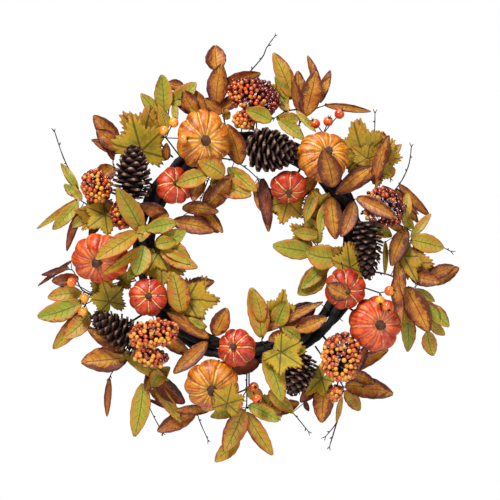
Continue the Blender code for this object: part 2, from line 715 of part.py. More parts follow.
def build_berry_cluster(label, lobes):
    """The outer shape of a cluster of small berries, lobe by lobe."""
    shells = []
    for at, out, half_width, half_height, tilt, lift in lobes:
        middle = spot(at, out, lift)
        lobe = turned(BERRY_PROFILE, Vector((0.0, 0.0, 0.0)), Vector((0.0, -1.0, 0.0)), 10, 0.10)
        size = Matrix.Diagonal((half_width * MM, BERRY_CLUSTER_DEPTH, half_height * MM, 1.0))
        place = Matrix.Translation(middle) @ Matrix.Rotation(math.radians(tilt), 4, "Y") @ size
        bmesh.ops.transform(lobe, matrix=place, verts=lobe.verts)
        shells.append(lobe)
    middles = [spot(at, out, lift) for at, out, _, _, _, lift in lobes]
    if len(middles) > 1:
        shells.append(tube(middles, PICK_RADIUS, 4))
    shells.append(pick(middles[0]))
    fuse(f"berry_cluster_{label}", shells, "berry")


HIP_PROFILE = ((0.48, -0.88), (1.0, -0.02), (0.44, 0.92))
CALYX_PROFILE = ((0.22, 0.80), (0.42, 1.45))


def build_hip_sprig(label, places):
    """Three hips on stalks, each with the star at its far end."""
    parting = spot(*places[0])
    shells = [tube([wired_on(parting), parting], STALK_RADIUS, 4)]
    for place in places[1:]:
        middle = spot(*place)
        axis = (middle - parting).normalized()
        for profile, sides in ((HIP_PROFILE, 6), (CALYX_PROFILE, 4)):
            rows = [(radius * HIP_RADIUS, height * HIP_RADIUS) for radius, height in profile]
            shells.append(turned(rows, middle, axis, sides))
        shells.append(tube([parting - axis * STALK_RADIUS, middle], STALK_RADIUS, 3))
    fuse(f"hip_sprig_{label}", shells, "hip")


# ---- leaf sprays ----
class Taken:
    """The space that finished pieces hold."""

    def __init__(self):
        self.trees = []

    def add(self, shells):
        """Keep a finished piece's closed shells, each with the corners of its box."""
        for shell in shells:
            self.trees.append((BVHTree.FromBMesh(shell), *box_of(shell)))

    def add_scene(self):
        """Keep every piece made so far."""
        for thing in bpy.context.scene.objects:
            if thing.type == "MESH":
                shell = bmesh.new()
                shell.from_mesh(thing.data)
                shell.transform(Matrix.Translation(thing.location))
                self.add([shell])
                shell.free()

    def clear_of(self, shell):
        """Whether a shell neither crosses nor lies inside any finished piece."""
        low, high = box_of(shell)
        own = BVHTree.FromBMesh(shell)
        shell.verts.ensure_lookup_table()
        for tree, tree_low, tree_high in self.trees:
            if any(high[k] < tree_low[k] or low[k] > tree_high[k] for k in range(3)):
                continue
            if tree.overlap(own) or is_inside(tree, shell.verts[0].co) or is_inside(tree, shell.verts[-1].co):
                return False
        return True


def box_of(shell):
    """The lowest and highest corners of a shell."""
    points = [corner.co for corner in shell.verts]
    low = Vector(min(point[k] for point in points) for k in range(3))
    return low, Vector(max(point[k] for point in points) for k in range(3))


def is_inside(tree, point):
    """Whether a point is inside a closed shell, so that a line out of it crosses the shell an odd number of times."""
    crossings = 0
    start = point
    direction = Vector((0.31, -0.90, 0.29)).normalized()
    while crossings < 20:
        hit, _, _, _ = tree.ray_cast(start, direction)
        if hit is None:
            break
        crossings += 1
        start = hit + direction * 1e-6
    return crossings % 2 == 1


def leaf_frame(foot, tip, roll):
    """The unit vectors along, across and out of a leaf's face, rolled about its length."""
    along = (tip - foot).normalized()
    sideways = along.cross(Vector((0.0, -1.0, 0.0))).normalized()
    turn = Matrix.Rotation(math.radians(roll), 3, along)
    sideways = turn @ sideways
    return along, sideways, sideways.cross(along)


def leaf_section(middle, direction, sideways, spread, swell):
    """Four points round a leaf or its stalk, square to the direction that it runs in there."""
    side = (sideways - direction * sideways.dot(direction)).normalized()
    face = side.cross(direction)
    edge = face * max(0.0, LEAF_FOLD * 2.0 * (spread - STALK_HALF_WIDTH))
    body = face * (LEAF_THICKNESS / 2.0 + swell)
    side *= spread + swell
    return [middle + side + edge, middle + body, middle - side + edge, middle - body]


LONG_STATIONS = ((0.30, 0.92), (0.66, 0.84), (1.0, 0.06))
SHORT_STATIONS = ((0.46, 1.0), (1.0, 0.06))


def oval_leaf(foot, base, tip, width, roll, swell):
    """A leaf folded along its midrib, running from its foot on the stem past its base to its tip."""
    along, sideways, _ = leaf_frame(base, tip, roll)
    length = (tip - base).length
    half = width / 2.0
    rings = []
    if base != foot:
        stalk = (base - foot).normalized()
        rings.append(leaf_section(foot, stalk, sideways, STALK_HALF_WIDTH, swell))
        rings.append(leaf_section(base, (stalk + along).normalized(), sideways, STALK_HALF_WIDTH, swell))
    else:
        rings.append(leaf_section(foot, along, sideways, STALK_HALF_WIDTH, swell))
    stations = LONG_STATIONS if length > SHORT_LEAF else SHORT_STATIONS
    for share, spread in stations:
        rings.append(leaf_section(base + along * (length * share), along, sideways, half * spread, swell))
    return skin(rings)


MAPLE_OUTLINE = ((180, 0.10), (118, 0.62), (100, 0.34), (60, 0.92), (34, 0.44), (0, 1.0),
                 (-34, 0.44), (-60, 0.92), (-100, 0.34), (-118, 0.62))


def maple_leaf(base, tip, width, roll, swell):
    """A five-pointed leaf, thickest where its veins meet."""
    along, sideways, face = leaf_frame(base, tip, roll)
    length = (tip - base).length
    shell = bmesh.new()
    front = shell.verts.new(base + face * (LEAF_THICKNESS + swell))
    back = shell.verts.new(base - face * (LEAF_THICKNESS + swell))
    rim = []
    for degrees, reach in MAPLE_OUTLINE:
        angle = math.radians(degrees)
        place = base + along * ((length * reach + swell) * math.cos(angle))
        place += sideways * ((width * 0.62 * reach + swell) * math.sin(angle))
        rim.append(shell.verts.new(place + face * (LEAF_FOLD * length * reach * abs(math.sin(angle)) * 0.6)))
    for k, corner in enumerate(rim):
        n = (k + 1) % len(rim)
        shell.faces.new((corner, rim[n], front))
        shell.faces.new((rim[n], corner, back))
    bmesh.ops.recalc_face_normals(shell, faces=shell.faces)
    return shell


def leaf_tries():
    """Shifts of (foot lift, tip lift, roll) to look for a free place with, the smallest first."""
    tries = []
    for tip in range(-60, 61, 4):
        for foot in (0, -4, 4, -8, 8, -14, 14, -22, 22):
            for roll in (0, -24, 24, -48, 48):
                tries.append((abs(tip) + 1.6 * abs(foot) + 0.22 * abs(roll), foot, tip, roll))
    return [entry[1:] for entry in sorted(tries)]


def nearest_on(rows, point):
    """The nearest point on the centre lines of a spray's stems."""
    best = None
    for row in rows:
        for start, end in zip(row, row[1:]):
            step = end - start
            share = min(LAST_ROOT, max(0.0, (point - start).dot(step) / step.length_squared))
            place = start + step * share
            if best is None or (point - place).length < (point - best).length:
                best = place
    return best


def rooted(foot, towards, order=0):
    """A foot sunk a little past the centre line of the stem that it grows from, less for each later leaf."""
    return foot - (towards - foot).normalized() * ((ROOT_DEPTH - ROOT_STEP * order) * STEM_RADIUS)


def leaf_ends(leaf, shifts):
    """The base and the tip of a leaf, shifted in depth from the places that its row gives."""
    _, at, out, heading, length, _, foot_lift, tip_lift = leaf
    foot_shift, tip_shift, _ = shifts
    base = spot(at, out, foot_lift + foot_shift)
    tip = base + compass(heading) * (length * MM)
    tip.y = -RING_FRONT - (tip_lift + tip_shift) * MM
    return base, tip


def leaf_shells(leaf, shifts, rows, order, swell=0.0):
    """A leaf and its stalk, shifted in depth and rolled from the place that its row gives."""
    kind, width, roll = leaf[0], leaf[5] * MM, shifts[2]
    base, tip = leaf_ends(leaf, shifts)
    foot = nearest_on(rows, base)
    stalked = (base - foot).length > 2.0 * STEM_RADIUS
    foot = rooted(foot, base if stalked else tip, order)
    if kind != "maple":
        return [oval_leaf(foot, base if stalked else foot, tip, width, roll, swell)]
    shells = [maple_leaf(base, tip, width, roll, swell)]
    if stalked:
        inner_end = base + (tip - base).normalized() * STEM_RADIUS
        shells.append(tube([foot, inner_end], STALK_HALF_WIDTH + swell, 3))
    return shells


def blade(leaf, shifts, swell=0.0):
    """The part of a leaf that has to stay clear of the other leaves of its own spray."""
    kind, width, roll = leaf[0], leaf[5] * MM, shifts[2]
    base, tip = leaf_ends(leaf, shifts)
    if kind == "maple":
        return maple_leaf(base, tip, width, roll, swell)
    start = base.lerp(tip, ROOT_SHARE)
    return oval_leaf(start, start, tip, width, roll, swell)


def place_leaf(rows, leaf, order, taken, siblings, tries):
    """The leaf's shells in the free place nearest to the one that its row gives."""
    for shifts in tries:
        if not siblings.clear_of(blade(leaf, shifts, CLEARANCE)):
            continue
        if all(taken.clear_of(shell) for shell in leaf_shells(leaf, shifts, rows, order, CLEARANCE)):
            siblings.add([blade(leaf, shifts)])
            return leaf_shells(leaf, shifts, rows, order)
    raise RuntimeError(f"no free place for the leaf {leaf}")


def build_spray(name, spray, taken, tries):
    """The stems of a spray and its leaves, each leaf laid where it is clear of what is there already."""
    rows = [[spot(*place) for place in row] for row in spray.stems]
    rows[0].insert(0, wired_on(rows[0][0]))
    for row in rows[1:]:
        row[0] = rooted(row[0], row[1])
    shells = [tube(row, STEM_RADIUS, 4, STEM_RADIUS * STEM_TAPER) for row in rows]
    siblings = Taken()
    for order, leaf in enumerate(spray.leaves):
        shells += place_leaf(rows, leaf, order, taken, siblings, tries)
    taken.add(shells)
    greens = sum(leaf[0] == "green" for leaf in spray.leaves)
    colour = "leaf_green" if 2 * greens >= len(spray.leaves) else "leaf_orange"
    fuse(name, shells, colour, "MANIFOLD" if name in MANIFOLD_SPRAYS else "EXACT")


def main():
    """Build the wreath."""
    clear_scene()
    build_ring()
    for label, pumpkin in PUMPKINS.items():
        build_pumpkin(label, pumpkin)
    for label, cone in CONES.items():
        build_cone(label, cone)
    for label, lobes in BERRY_CLUSTERS.items():
        build_berry_cluster(label, lobes)
    for label, places in HIP_SPRIGS.items():
        build_hip_sprig(label, places)
    taken = Taken()
    taken.add_scene()
    tries = leaf_tries()
    for name, spray in SPRAYS.items():
        build_spray(name, spray, taken, tries)


main()
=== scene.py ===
"""The looks of a harvest door wreath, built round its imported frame.

Everything is in metres in the frame of the solids: +Z is up, the door is towards +Y, the trimmings face -Y.
Places round the ring are (at, out, lift): degrees clockwise from the top, millimetres outwards from the
ring's centre line, and millimetres in front of the ring's front face.
"""
import logging
import math
import random
from dataclasses import dataclass
from enum import Enum

import bmesh
import bpy
from bmesh.types import BMesh
from mathutils import Matrix, Quaternion, Vector, kdtree, noise


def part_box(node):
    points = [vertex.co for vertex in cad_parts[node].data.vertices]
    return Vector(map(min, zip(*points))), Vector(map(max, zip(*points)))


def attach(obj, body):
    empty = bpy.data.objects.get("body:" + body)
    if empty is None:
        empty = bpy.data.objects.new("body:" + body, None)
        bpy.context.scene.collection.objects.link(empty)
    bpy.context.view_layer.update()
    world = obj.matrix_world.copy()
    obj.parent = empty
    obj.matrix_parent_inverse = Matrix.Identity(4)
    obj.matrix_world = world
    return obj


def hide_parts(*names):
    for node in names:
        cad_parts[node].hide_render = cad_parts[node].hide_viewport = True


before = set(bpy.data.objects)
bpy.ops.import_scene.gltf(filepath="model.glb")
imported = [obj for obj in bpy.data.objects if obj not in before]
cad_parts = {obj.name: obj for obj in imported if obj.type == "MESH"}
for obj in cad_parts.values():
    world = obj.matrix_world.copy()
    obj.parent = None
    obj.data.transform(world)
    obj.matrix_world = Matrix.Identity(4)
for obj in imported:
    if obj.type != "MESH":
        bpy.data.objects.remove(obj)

LOG = logging.getLogger("wreath")
MM = 0.001
BODY = "wreath"
LOOP_BODY = "hanging_loop"
SURFACE = "Surface"
TINT = "tint"
MARK = "mark"
FRONT = Vector((0.0, -1.0, 0.0))
PICK_RADIUS = 0.0016
GOLDEN_TURN = math.pi * (3.0 - math.sqrt(5.0))

Socket = bpy.types.NodeSocket
Colour = tuple[float, float, float]


class LeafKind(Enum):
    """The fabric leaves of the sprays."""

    GREEN = "green"
    ORANGE = "orange"
    MAROON = "maroon"
    MAPLE = "maple"


class PumpkinLook(Enum):
    """How a pumpkin is painted."""

    RED = "red"
    GOLD = "gold"
    ORANGE = "orange"


class Layer(Enum):
    """The places of a leaf spray's materials, in the order of its slots."""

    STEM = 0
    GREEN = 1
    ORANGE = 2
    MAROON = 3
    MAPLE = 4


# ---- node trees ----
def paint(colour: Colour) -> tuple[float, float, float, float]:
    """Turn a screen colour of 0 to 255 into linear light.

    Args:
        colour: red, green and blue.

    Returns:
        The colour with full alpha.
    """
    shares = [value / 255.0 for value in colour]
    linear = [share / 12.92 if share <= 0.04045 else ((share + 0.055) / 1.055) ** 2.4 for share in shares]
    return (linear[0], linear[1], linear[2], 1.0)


class Reading:
    """A number that a material's nodes work out, which plain arithmetic can be done on."""

    def __init__(self, graph: "Graph", socket: Socket) -> None:
        """Wrap an output of one of the graph's nodes."""
        self.graph, self.socket = graph, socket

    def __add__(self, other: "Reading | float") -> "Reading":
        """The sum."""
        return self.graph.math("ADD", self, other)

    def __sub__(self, other: "Reading | float") -> "Reading":
        """The difference."""
        return self.graph.math("SUBTRACT", self, other)

    def __mul__(self, other: "Reading | float") -> "Reading":
        """The product."""
        return self.graph.math("MULTIPLY", self, other)

    def __mod__(self, other: float) -> "Reading":
        """What is left over a whole number of times the other."""
        return self.graph.math("MODULO", self, other)

    def __abs__(self) -> "Reading":
        """The size without the sign."""
        return self.graph.math("ABSOLUTE", self)


Value = Reading | float
Paint = Socket | tuple[float, float, float, float]


class Graph:
    """A material's node tree, with short calls for the nodes that the finishes use."""

    def __init__(self, name: str) -> None:
        """Start a material of this name."""
        self.material = bpy.data.materials.new(name)
        self.material.use_nodes = True
        self.tree = self.material.node_tree
        self.shader = self.tree.nodes["Principled BSDF"]

    def put(self, socket: Socket, value: Value | Paint) -> None:
        """Link an output to an input, or set the input to a constant."""
        value = value.socket if isinstance(value, Reading) else value
        if isinstance(value, bpy.types.NodeSocket):
            self.tree.links.new(value, socket)
        else:
            socket.default_value = value

    def node(self, kind: str, inputs: dict[int | str, Value | Paint], **settings: str) -> bpy.types.Node:
        """Add a node.

        Args:
            kind: its type, without the common first part.
            inputs: what goes into it, by place or name.
            **settings: its other properties.

        Returns:
            The node.
        """
        node = self.tree.nodes.new(f"ShaderNode{kind}")
        for name, value in settings.items():
            setattr(node, name, value)
        for place, value in inputs.items():
            self.put(node.inputs[place], value)
        return node

    def math(self, operation: str, first: Value, second: Value = 0.0) -> Reading:
        """Work out one number from one or two."""
        return Reading(self, self.node("Math", {0: first, 1: second}, operation=operation).outputs[0])

    def step(self, value: Reading, low: float, high: float) -> Reading:
        """Rise smoothly from 0 at low to 1 at high, or fall where low is the larger."""
        falls = low > high
        limits = {"From Min": min(low, high), "From Max": max(low, high)}
        reaches = {"To Min": float(falls), "To Max": float(not falls)}
        node = self.node("MapRange", {"Value": value, **limits, **reaches}, interpolation_type="SMOOTHSTEP")
        return Reading(self, node.outputs["Result"])

    def blend(self, share: Value, first: Paint, second: Paint) -> Socket:
        """Mix two colours, by the share of the second."""
        return self.node("Mix", {0: share, 6: first, 7: second}, data_type="RGBA").outputs[2]

    def over(self, colour: Paint, share: Value, coat: Colour) -> Socket:
        """Paint a screen colour over another, by its share."""
        return self.blend(share, colour, paint(coat))

    def ramp(self, share: Reading, stops: list[tuple[float, Colour]]) -> Socket:
        """Read a colour off a ramp.

        Args:
            share: where to read it.
            stops: places and screen colours, in order.

        Returns:
            The colour.
        """
        node = self.node("ValToRGB", {0: share})
        elements = node.color_ramp.elements
        elements[0].position, elements[0].color = stops[0][0], paint(stops[0][1])
        elements[1].position, elements[1].color = stops[-1][0], paint(stops[-1][1])
        for place, colour in stops[1:-1]:
            elements.new(place).color = paint(colour)
        return node.outputs[0]

    def noise(self, scale: float, detail: float = 2.0, distortion: float = 0.0) -> Reading:
        """Read soft noise in the piece's own metres.

        Args:
            scale: waves per metre.
            detail: how many finer layers.
            distortion: how far the noise is stirred.

        Returns:
            A number round 0.5.
        """
        node = self.node("TexNoise", {"Scale": scale, "Detail": detail, "Distortion": distortion})
        self.put(node.inputs["Vector"], self.node("TexCoord", {}).outputs["Object"])
        return Reading(self, node.outputs[0])

    def streaks(self, around: float, along: float) -> Reading:
        """Read noise drawn out from pole to pole of a round body's surface map.

        Args:
            around: how fine it is round the body.
            along: how fine it is from pole to pole.

        Returns:
            A number round 0.5.
        """
        turn, rise = self.surface()
        turn = turn * (2.0 * math.pi)
        reach = around / (2.0 * math.pi)
        place = self.node("CombineXYZ", {})
        self.put(place.inputs[0], self.math("COSINE", turn) * reach)
        self.put(place.inputs[1], self.math("SINE", turn) * reach)
        self.put(place.inputs[2], rise * along)
        node = self.node("TexNoise", {"Vector": place.outputs[0], "Scale": 1.0, "Detail": 3.0})
        return Reading(self, node.outputs[0])

    def attribute(self, name: str) -> Reading:
        """Read one of the mesh's own numbers."""
        return Reading(self, self.node("Attribute", {}, attribute_name=name).outputs["Fac"])

    def surface(self) -> tuple[Reading, Reading]:
        """Read the two coordinates of the piece's own surface map."""
        place = self.node("UVMap", {}, uv_map=SURFACE)
        parts = self.node("SeparateXYZ", {0: place.outputs[0]})
        return Reading(self, parts.outputs[0]), Reading(self, parts.outputs[1])

    def relief(self, height: Reading, strength: float, distance: float) -> None:
        """Raise and lower the surface by a pattern, to a depth in metres."""
        node = self.node("Bump", {"Strength": strength, "Distance": distance, "Height": height})
        self.put(self.shader.inputs["Normal"], node.outputs[0])

    def surface_is(self, colour: Paint, roughness: Reading, **constants: float) -> None:
        """Connect the shader.

        Args:
            colour: its base colour.
            roughness: its roughness.
            **constants: other sockets by name, with _ for a space, and their values.
        """
        self.put(self.shader.inputs["Base Color"], colour)
        self.put(self.shader.inputs["Roughness"], roughness)
        for name, value in constants.items():
            self.shader.inputs[name.replace("_", " ")].default_value = value


# ---- finishes ----
@dataclass(frozen=True)
class LeafFinish:
    """Printed fabric of an oval leaf: a fresh and an aged tone, darker veins, and a rim burnt inwards."""

    name: str
    fresh: tuple[Colour, Colour, Colour]
    aged: tuple[Colour, Colour, Colour]
    vein: Colour
    burn: Colour
    burn_from: float = 0.80
    side_veins: float = 7.0

    def make(self) -> bpy.types.Material:
        """Build the material.

        Returns:
            A material that reads the leaf's surface map and its tint.
        """
        graph = Graph(self.name)
        across, along = graph.surface()
        middle = abs(across - 0.5)
        edge = middle * 2.0
        tint = graph.attribute(TINT)
        cloud = graph.noise(70.0, 3.0, 0.8)
        blotch = graph.noise(150.0, 4.0, 1.4)
        grain = graph.noise(700.0, 3.0)
        reach = edge * 0.4 + cloud * 0.9
        reach = reach - 0.2
        fresh = graph.ramp(reach, [(0.12, self.fresh[0]), (0.40, self.fresh[1]), (0.74, self.fresh[2])])
        aged = graph.ramp(reach, [(0.12, self.aged[0]), (0.40, self.aged[1]), (0.74, self.aged[2])])
        colour = graph.blend(tint, fresh, aged)
        speck = graph.step(grain, 0.52, 0.66) * 0.35
        colour = graph.over(colour, speck, self.burn)
        phase = (along - edge * 0.17) * self.side_veins
        wave = abs(graph.math("FRACT", phase) - 0.5)
        side = graph.step(wave, 0.42, 0.49) * graph.step(edge, 0.95, 0.25)
        rib = graph.step(edge, 0.085, 0.02)
        veins = graph.math("MAXIMUM", rib, side * 0.85)
        colour = graph.over(colour, veins * 0.76, self.vein)
        lopsided = (across - 0.5) * (tint - 0.5)
        patch = edge * 0.52 + blotch * 0.95
        patch = patch + lopsided * 0.9
        patch = patch + graph.step(along, 0.7, 1.0) * 0.16
        burnt = graph.step(patch, self.burn_from, self.burn_from + 0.22) * 0.85
        colour = graph.over(colour, burnt, self.burn)
        rim = graph.step(edge, 0.93, 0.99) * 0.7
        colour = graph.over(colour, rim, self.burn)
        graph.surface_is(colour, grain * 0.3 + 0.36,
                         Specular_IOR_Level=0.4)
        raised = veins * 0.8 + blotch * 0.9
        graph.relief(raised, 0.6, 0.0007)
        return graph.material


@dataclass(frozen=True)
class MapleFinish:
    """Printed fabric of a toothed leaf, with ribs to each point and side veins off them."""

    name: str
    fresh: tuple[Colour, Colour, Colour]
    aged: tuple[Colour, Colour, Colour]
    vein: Colour
    burn: Colour

    def make(self) -> bpy.types.Material:
        """Build the material.

        Returns:
            A material that reads the leaf's flat surface map, whose middle is where the ribs meet.
        """
        graph = Graph(self.name)
        across, along = graph.surface()
        x = across - 0.5
        y = along - 0.5
        reach = graph.math("SQRT", x * x + y * y)
        reach = reach * 2.0
        turn = abs(graph.math("ARCTAN2", x, y))
        fold = (turn + math.radians(30.0)) % math.radians(60.0)
        off = abs(fold - math.radians(30.0))
        beside = reach * graph.math("SINE", off)
        along_rib = reach * graph.math("COSINE", off)
        rib = graph.step(beside, 0.040, 0.010)
        phase = (along_rib - beside) * 6.5
        wave = abs(graph.math("FRACT", phase) - 0.5)
        side = graph.step(wave, 0.42, 0.49) * 0.5
        cloud = graph.noise(75.0, 3.0, 0.8)
        grain = graph.noise(480.0, 3.0)
        place = reach * 0.5 + cloud - 0.34
        fresh = graph.ramp(place, [(0.05, self.fresh[0]), (0.40, self.fresh[1]), (0.8, self.fresh[2])])
        aged = graph.ramp(place, [(0.05, self.aged[0]), (0.40, self.aged[1]), (0.8, self.aged[2])])
        colour = graph.blend(graph.attribute(TINT), fresh, aged)
        colour = graph.over(colour, graph.step(grain, 0.48, 0.68) * 0.3, self.burn)
        veins = graph.math("MAXIMUM", rib, side)
        colour = graph.over(colour, veins * 0.75, self.vein)
        rim = graph.step(graph.attribute(MARK), 0.86, 1.0) * 0.5
        colour = graph.over(colour, rim, self.burn)
        graph.surface_is(colour, grain * 0.25 + 0.45,
                         Specular_IOR_Level=0.3)
        raised = veins * 0.8 + grain * 0.5
        graph.relief(raised, 0.45, 0.0004)
        return graph.material


@dataclass(frozen=True)
class PumpkinFinish:
    """Painted foam: mottled ribs streaked from the stem, pale worn lines in the grooves, and painted shade on
    the flanks beside the grooves.
    """

    name: str
    rib: tuple[Colour, Colour, Colour]
    groove: Colour
    groove_shade: Colour
    crown: Colour
    streak_share: float = 0.5
    groove_share: float = 0.9
    crown_share: float = 0.5
    lines: float = 30.0

    def make(self) -> bpy.types.Material:
        """Build the material.

        Returns:
            A material that reads its surface map, and how near each point is to a groove and to the stem.
        """
        graph = Graph(self.name)
        cloud = graph.noise(70.0, 4.0, 1.0)
        grain = graph.noise(380.0, 5.0, 0.8)
        crown = graph.attribute(TINT)
        groove = graph.attribute(MARK)
        streaks = graph.streaks(self.lines, 1.6)
        mixed = cloud * 0.62 + grain * 0.38
        mixed = mixed + (streaks - 0.5) * self.streak_share
        mixed = mixed + crown * 0.22
        colour = graph.ramp(mixed, [(0.36, self.rib[2]), (0.53, self.rib[1]), (0.72, self.rib[0])])
        # painted shade: the flanks darken towards their shade colour as they near a groove
        beside = graph.step(groove, 0.1, 0.55) * 0.72
        colour = graph.over(colour, beside, self.groove_shade)
        wash = graph.step(crown, 0.45, 0.95) * self.crown_share
        colour = graph.over(colour, wash, self.crown)
        worn = graph.step(grain + (cloud - 0.5) * 0.8,
                          0.30, 0.52)
        line = graph.step(groove, 0.66, 0.9) * worn
        colour = graph.over(colour, line * self.groove_share, self.groove)
        graph.surface_is(colour, cloud * 0.3 + 0.26,
                         Specular_IOR_Level=0.5, Coat_Weight=0.15, Coat_Roughness=0.3)
        raised = grain * 0.7 + streaks * 1.1
        graph.relief(raised + line * 0.5, 0.7, 0.0009)
        return graph.material


@dataclass(frozen=True)
class BarkFinish:
    """Rough dark bark or a dyed twig, streaked and pitted."""

    name: str
    dark: Colour
    light: Colour
    scale: float = 260.0
    depth: float = 0.0008

    def make(self) -> bpy.types.Material:
        """Build the material.

        Returns:
            A material on the piece's own metres.
        """
        graph = Graph(self.name)
        coarse = graph.noise(self.scale, 5.0, 1.2)
        fine = graph.noise(self.scale * 4.0, 3.0)
        both = coarse * 0.7 + fine * 0.3
        colour = graph.ramp(both, [(0.38, self.dark), (0.62, self.light)])
        graph.surface_is(colour, fine * 0.3 + 0.55, Specular_IOR_Level=0.3)
        graph.relief(both, 0.8, self.depth)
        return graph.material


@dataclass(frozen=True)
class WireFinish:
    """Dark lacquered wire with scuffs."""

    name: str
    lacquer: Colour
    scuff: Colour

    def make(self) -> bpy.types.Material:
        """Build the material.

        Returns:
            A satin metal.
        """
        graph = Graph(self.name)
        worn = graph.noise(700.0, 4.0)
        colour = graph.blend(graph.step(worn, 0.58, 0.72), paint(self.lacquer), paint(self.scuff))
        graph.surface_is(colour, worn * 0.3 + 0.25, Metallic=0.7)
        graph.relief(worn, 0.25, 0.0001)
        return graph.material


@dataclass(frozen=True)
class ConeFinish:
    """A pinecone's scales: dark at the root, with painted shade deepening it to near black in the gaps between
    scales, paler and greyer at the thick rim.
    """

    name: str
    root: Colour
    body: Colour
    rim: Colour

    def make(self) -> bpy.types.Material:
        """Build the material.

        Returns:
            A material that reads how far out along its scale each point is.
        """
        graph = Graph(self.name)
        reach = graph.attribute(MARK)
        coarse = graph.noise(330.0, 4.0, 0.5)
        fine = graph.noise(1500.0, 3.0)
        place = reach + (coarse - 0.5) * 0.3
        # the root colour is partly the scale's own darker base and partly painted shade for the gaps between
        # the scales
        stops = [(0.30, self.root), (0.74, self.body), (0.90, self.body), (1.02, self.rim)]
        colour = graph.ramp(place, stops)
        aged = graph.attribute(TINT) * 0.35
        colour = graph.over(colour, aged, self.root)
        graph.surface_is(colour, fine * 0.3 + 0.5, Specular_IOR_Level=0.35)
        graph.relief(coarse + fine * 0.4, 0.6, 0.0005)
        return graph.material


@dataclass(frozen=True)
class FruitFinish:
    """Lacquered berries and hips: two skin colours by fruit, a blush and a gloss."""

    name: str
    pale: Colour
    ripe: Colour
    deep: Colour
    gloss: float = 0.5

    def make(self) -> bpy.types.Material:
        """Build the material.

        Returns:
            A glossy material that reads each fruit's tint: its own ripeness, and for berries also a painted
            shade across each bunch.
        """
        graph = Graph(self.name)
        cloud = graph.noise(230.0, 2.0)
        # the tint carries each fruit's ripeness and, for berries, a painted shade across the bunch
        ripeness_and_shade = graph.attribute(TINT) + (cloud - 0.5) * 0.55
        colour = graph.ramp(ripeness_and_shade, [(0.10, self.pale), (0.50, self.ripe), (0.92, self.deep)])
        stain = graph.step(graph.attribute(MARK), 0.7, 1.0) * 0.85
        colour = graph.over(colour, stain, (70, 25, 18))
        graph.surface_is(colour, cloud * 0.2 + 0.18,
                         Specular_IOR_Level=0.5, Coat_Weight=self.gloss, Coat_Roughness=0.15)
        graph.relief(graph.noise(900.0, 2.0), 0.15, 0.0002)
        return graph.material


class Wardrobe:
    """Every finish of the wreath, made once."""

    def __init__(self) -> None:
        """Make the materials."""
        self.green = LeafFinish("leaf_green", ((148, 166, 42), (140, 150, 34), (196, 138, 40)),
                                ((176, 164, 48), (182, 138, 36), (190, 96, 28)),
                                (58, 62, 18), (122, 40, 12), 0.96).make()
        self.orange = LeafFinish("leaf_orange", ((204, 158, 42), (192, 118, 24), (146, 58, 14)),
                                 ((188, 124, 28), (158, 80, 18), (104, 34, 14)),
                                 (84, 36, 12), (76, 20, 14), 0.70).make()
        self.maroon = LeafFinish("leaf_maroon", ((178, 96, 26), (138, 56, 18), (92, 28, 14)),
                                 ((142, 66, 22), (104, 38, 16), (70, 20, 14)),
                                 (50, 18, 12), (52, 14, 12), 0.74).make()
        self.maple = MapleFinish("leaf_maple", ((122, 118, 30), (182, 160, 38), (214, 158, 42)),
                                 ((108, 84, 26), (166, 126, 30), (192, 118, 30)),
                                 (58, 46, 12), (112, 50, 14)).make()
        self.twig = BarkFinish("twig", (16, 14, 18), (44, 34, 34), 420.0, 0.0005).make()
        self.vine = BarkFinish("vine_bark", (12, 11, 15), (40, 33, 34), 190.0, 0.0012).make()
        self.wire = WireFinish("black_wire", (20, 18, 18), (70, 62, 56)).make()
        # the cone's first colour, near black, is the scale roots' own dark tone deepened by painted shade
        self.cone = ConeFinish("pinecone_scale", (14, 6, 6), (64, 34, 27), (166, 132, 108)).make()
        self.berry = FruitFinish("berry", (234, 160, 50), (200, 76, 24), (98, 12, 12), 0.7).make()
        self.hip = FruitFinish("hip", (240, 164, 48), (230, 96, 26), (190, 38, 16), 0.6).make()
        self.calyx = BarkFinish("calyx", (30, 12, 12), (66, 30, 24), 800.0, 0.0003).make()
        self.stub = BarkFinish("pumpkin_stem", (40, 20, 20), (104, 70, 54), 420.0, 0.0009).make()
        # each pumpkin's colour after its pale groove line is the painted shade on the flanks beside its
        # grooves
        red = PumpkinFinish("pumpkin_red", ((222, 88, 24), (192, 48, 10), (124, 18, 6)),
                            (248, 202, 108), (138, 26, 10), (226, 116, 44), 0.55, 0.95, 0.4)
        gold = PumpkinFinish("pumpkin_gold", ((230, 164, 46), (204, 116, 22), (146, 58, 12)),
                             (246, 214, 106), (172, 76, 16), (228, 176, 66), 0.95, 0.75, 0.5, 44.0)
        orange = PumpkinFinish("pumpkin_orange", ((236, 128, 54), (214, 74, 22), (152, 34, 10)),
                               (248, 188, 120), (182, 44, 16), (218, 156, 100), 0.8, 0.5, 0.5, 38.0)
        self.pumpkins = {PumpkinLook.RED: red.make(), PumpkinLook.GOLD: gold.make(),
                         PumpkinLook.ORANGE: orange.make()}


# ---- shapes ----
def blank() -> BMesh:
    """Start an empty shape with the map and the two numbers that every finish may read.

    Returns:
        The shape.
    """
    shape = bmesh.new()
    shape.loops.layers.uv.new(SURFACE)
    shape.verts.layers.float.new(TINT)
    shape.verts.layers.float.new(MARK)
    return shape


def aim(point: Vector, turn: Quaternion, size: float) -> Matrix:
    """Place a unit shape at a point, turned and sized."""
    return Matrix.Translation(point) @ turn.to_matrix().to_4x4() @ Matrix.Scale(size, 4)


def thicken(shape: BMesh, thickness: float) -> None:
    """Give a sheet its thickness, normals outwards."""
    bmesh.ops.recalc_face_normals(shape, faces=shape.faces)
    bmesh.ops.solidify(shape, geom=shape.faces, thickness=thickness)
    bmesh.ops.recalc_face_normals(shape, faces=shape.faces)


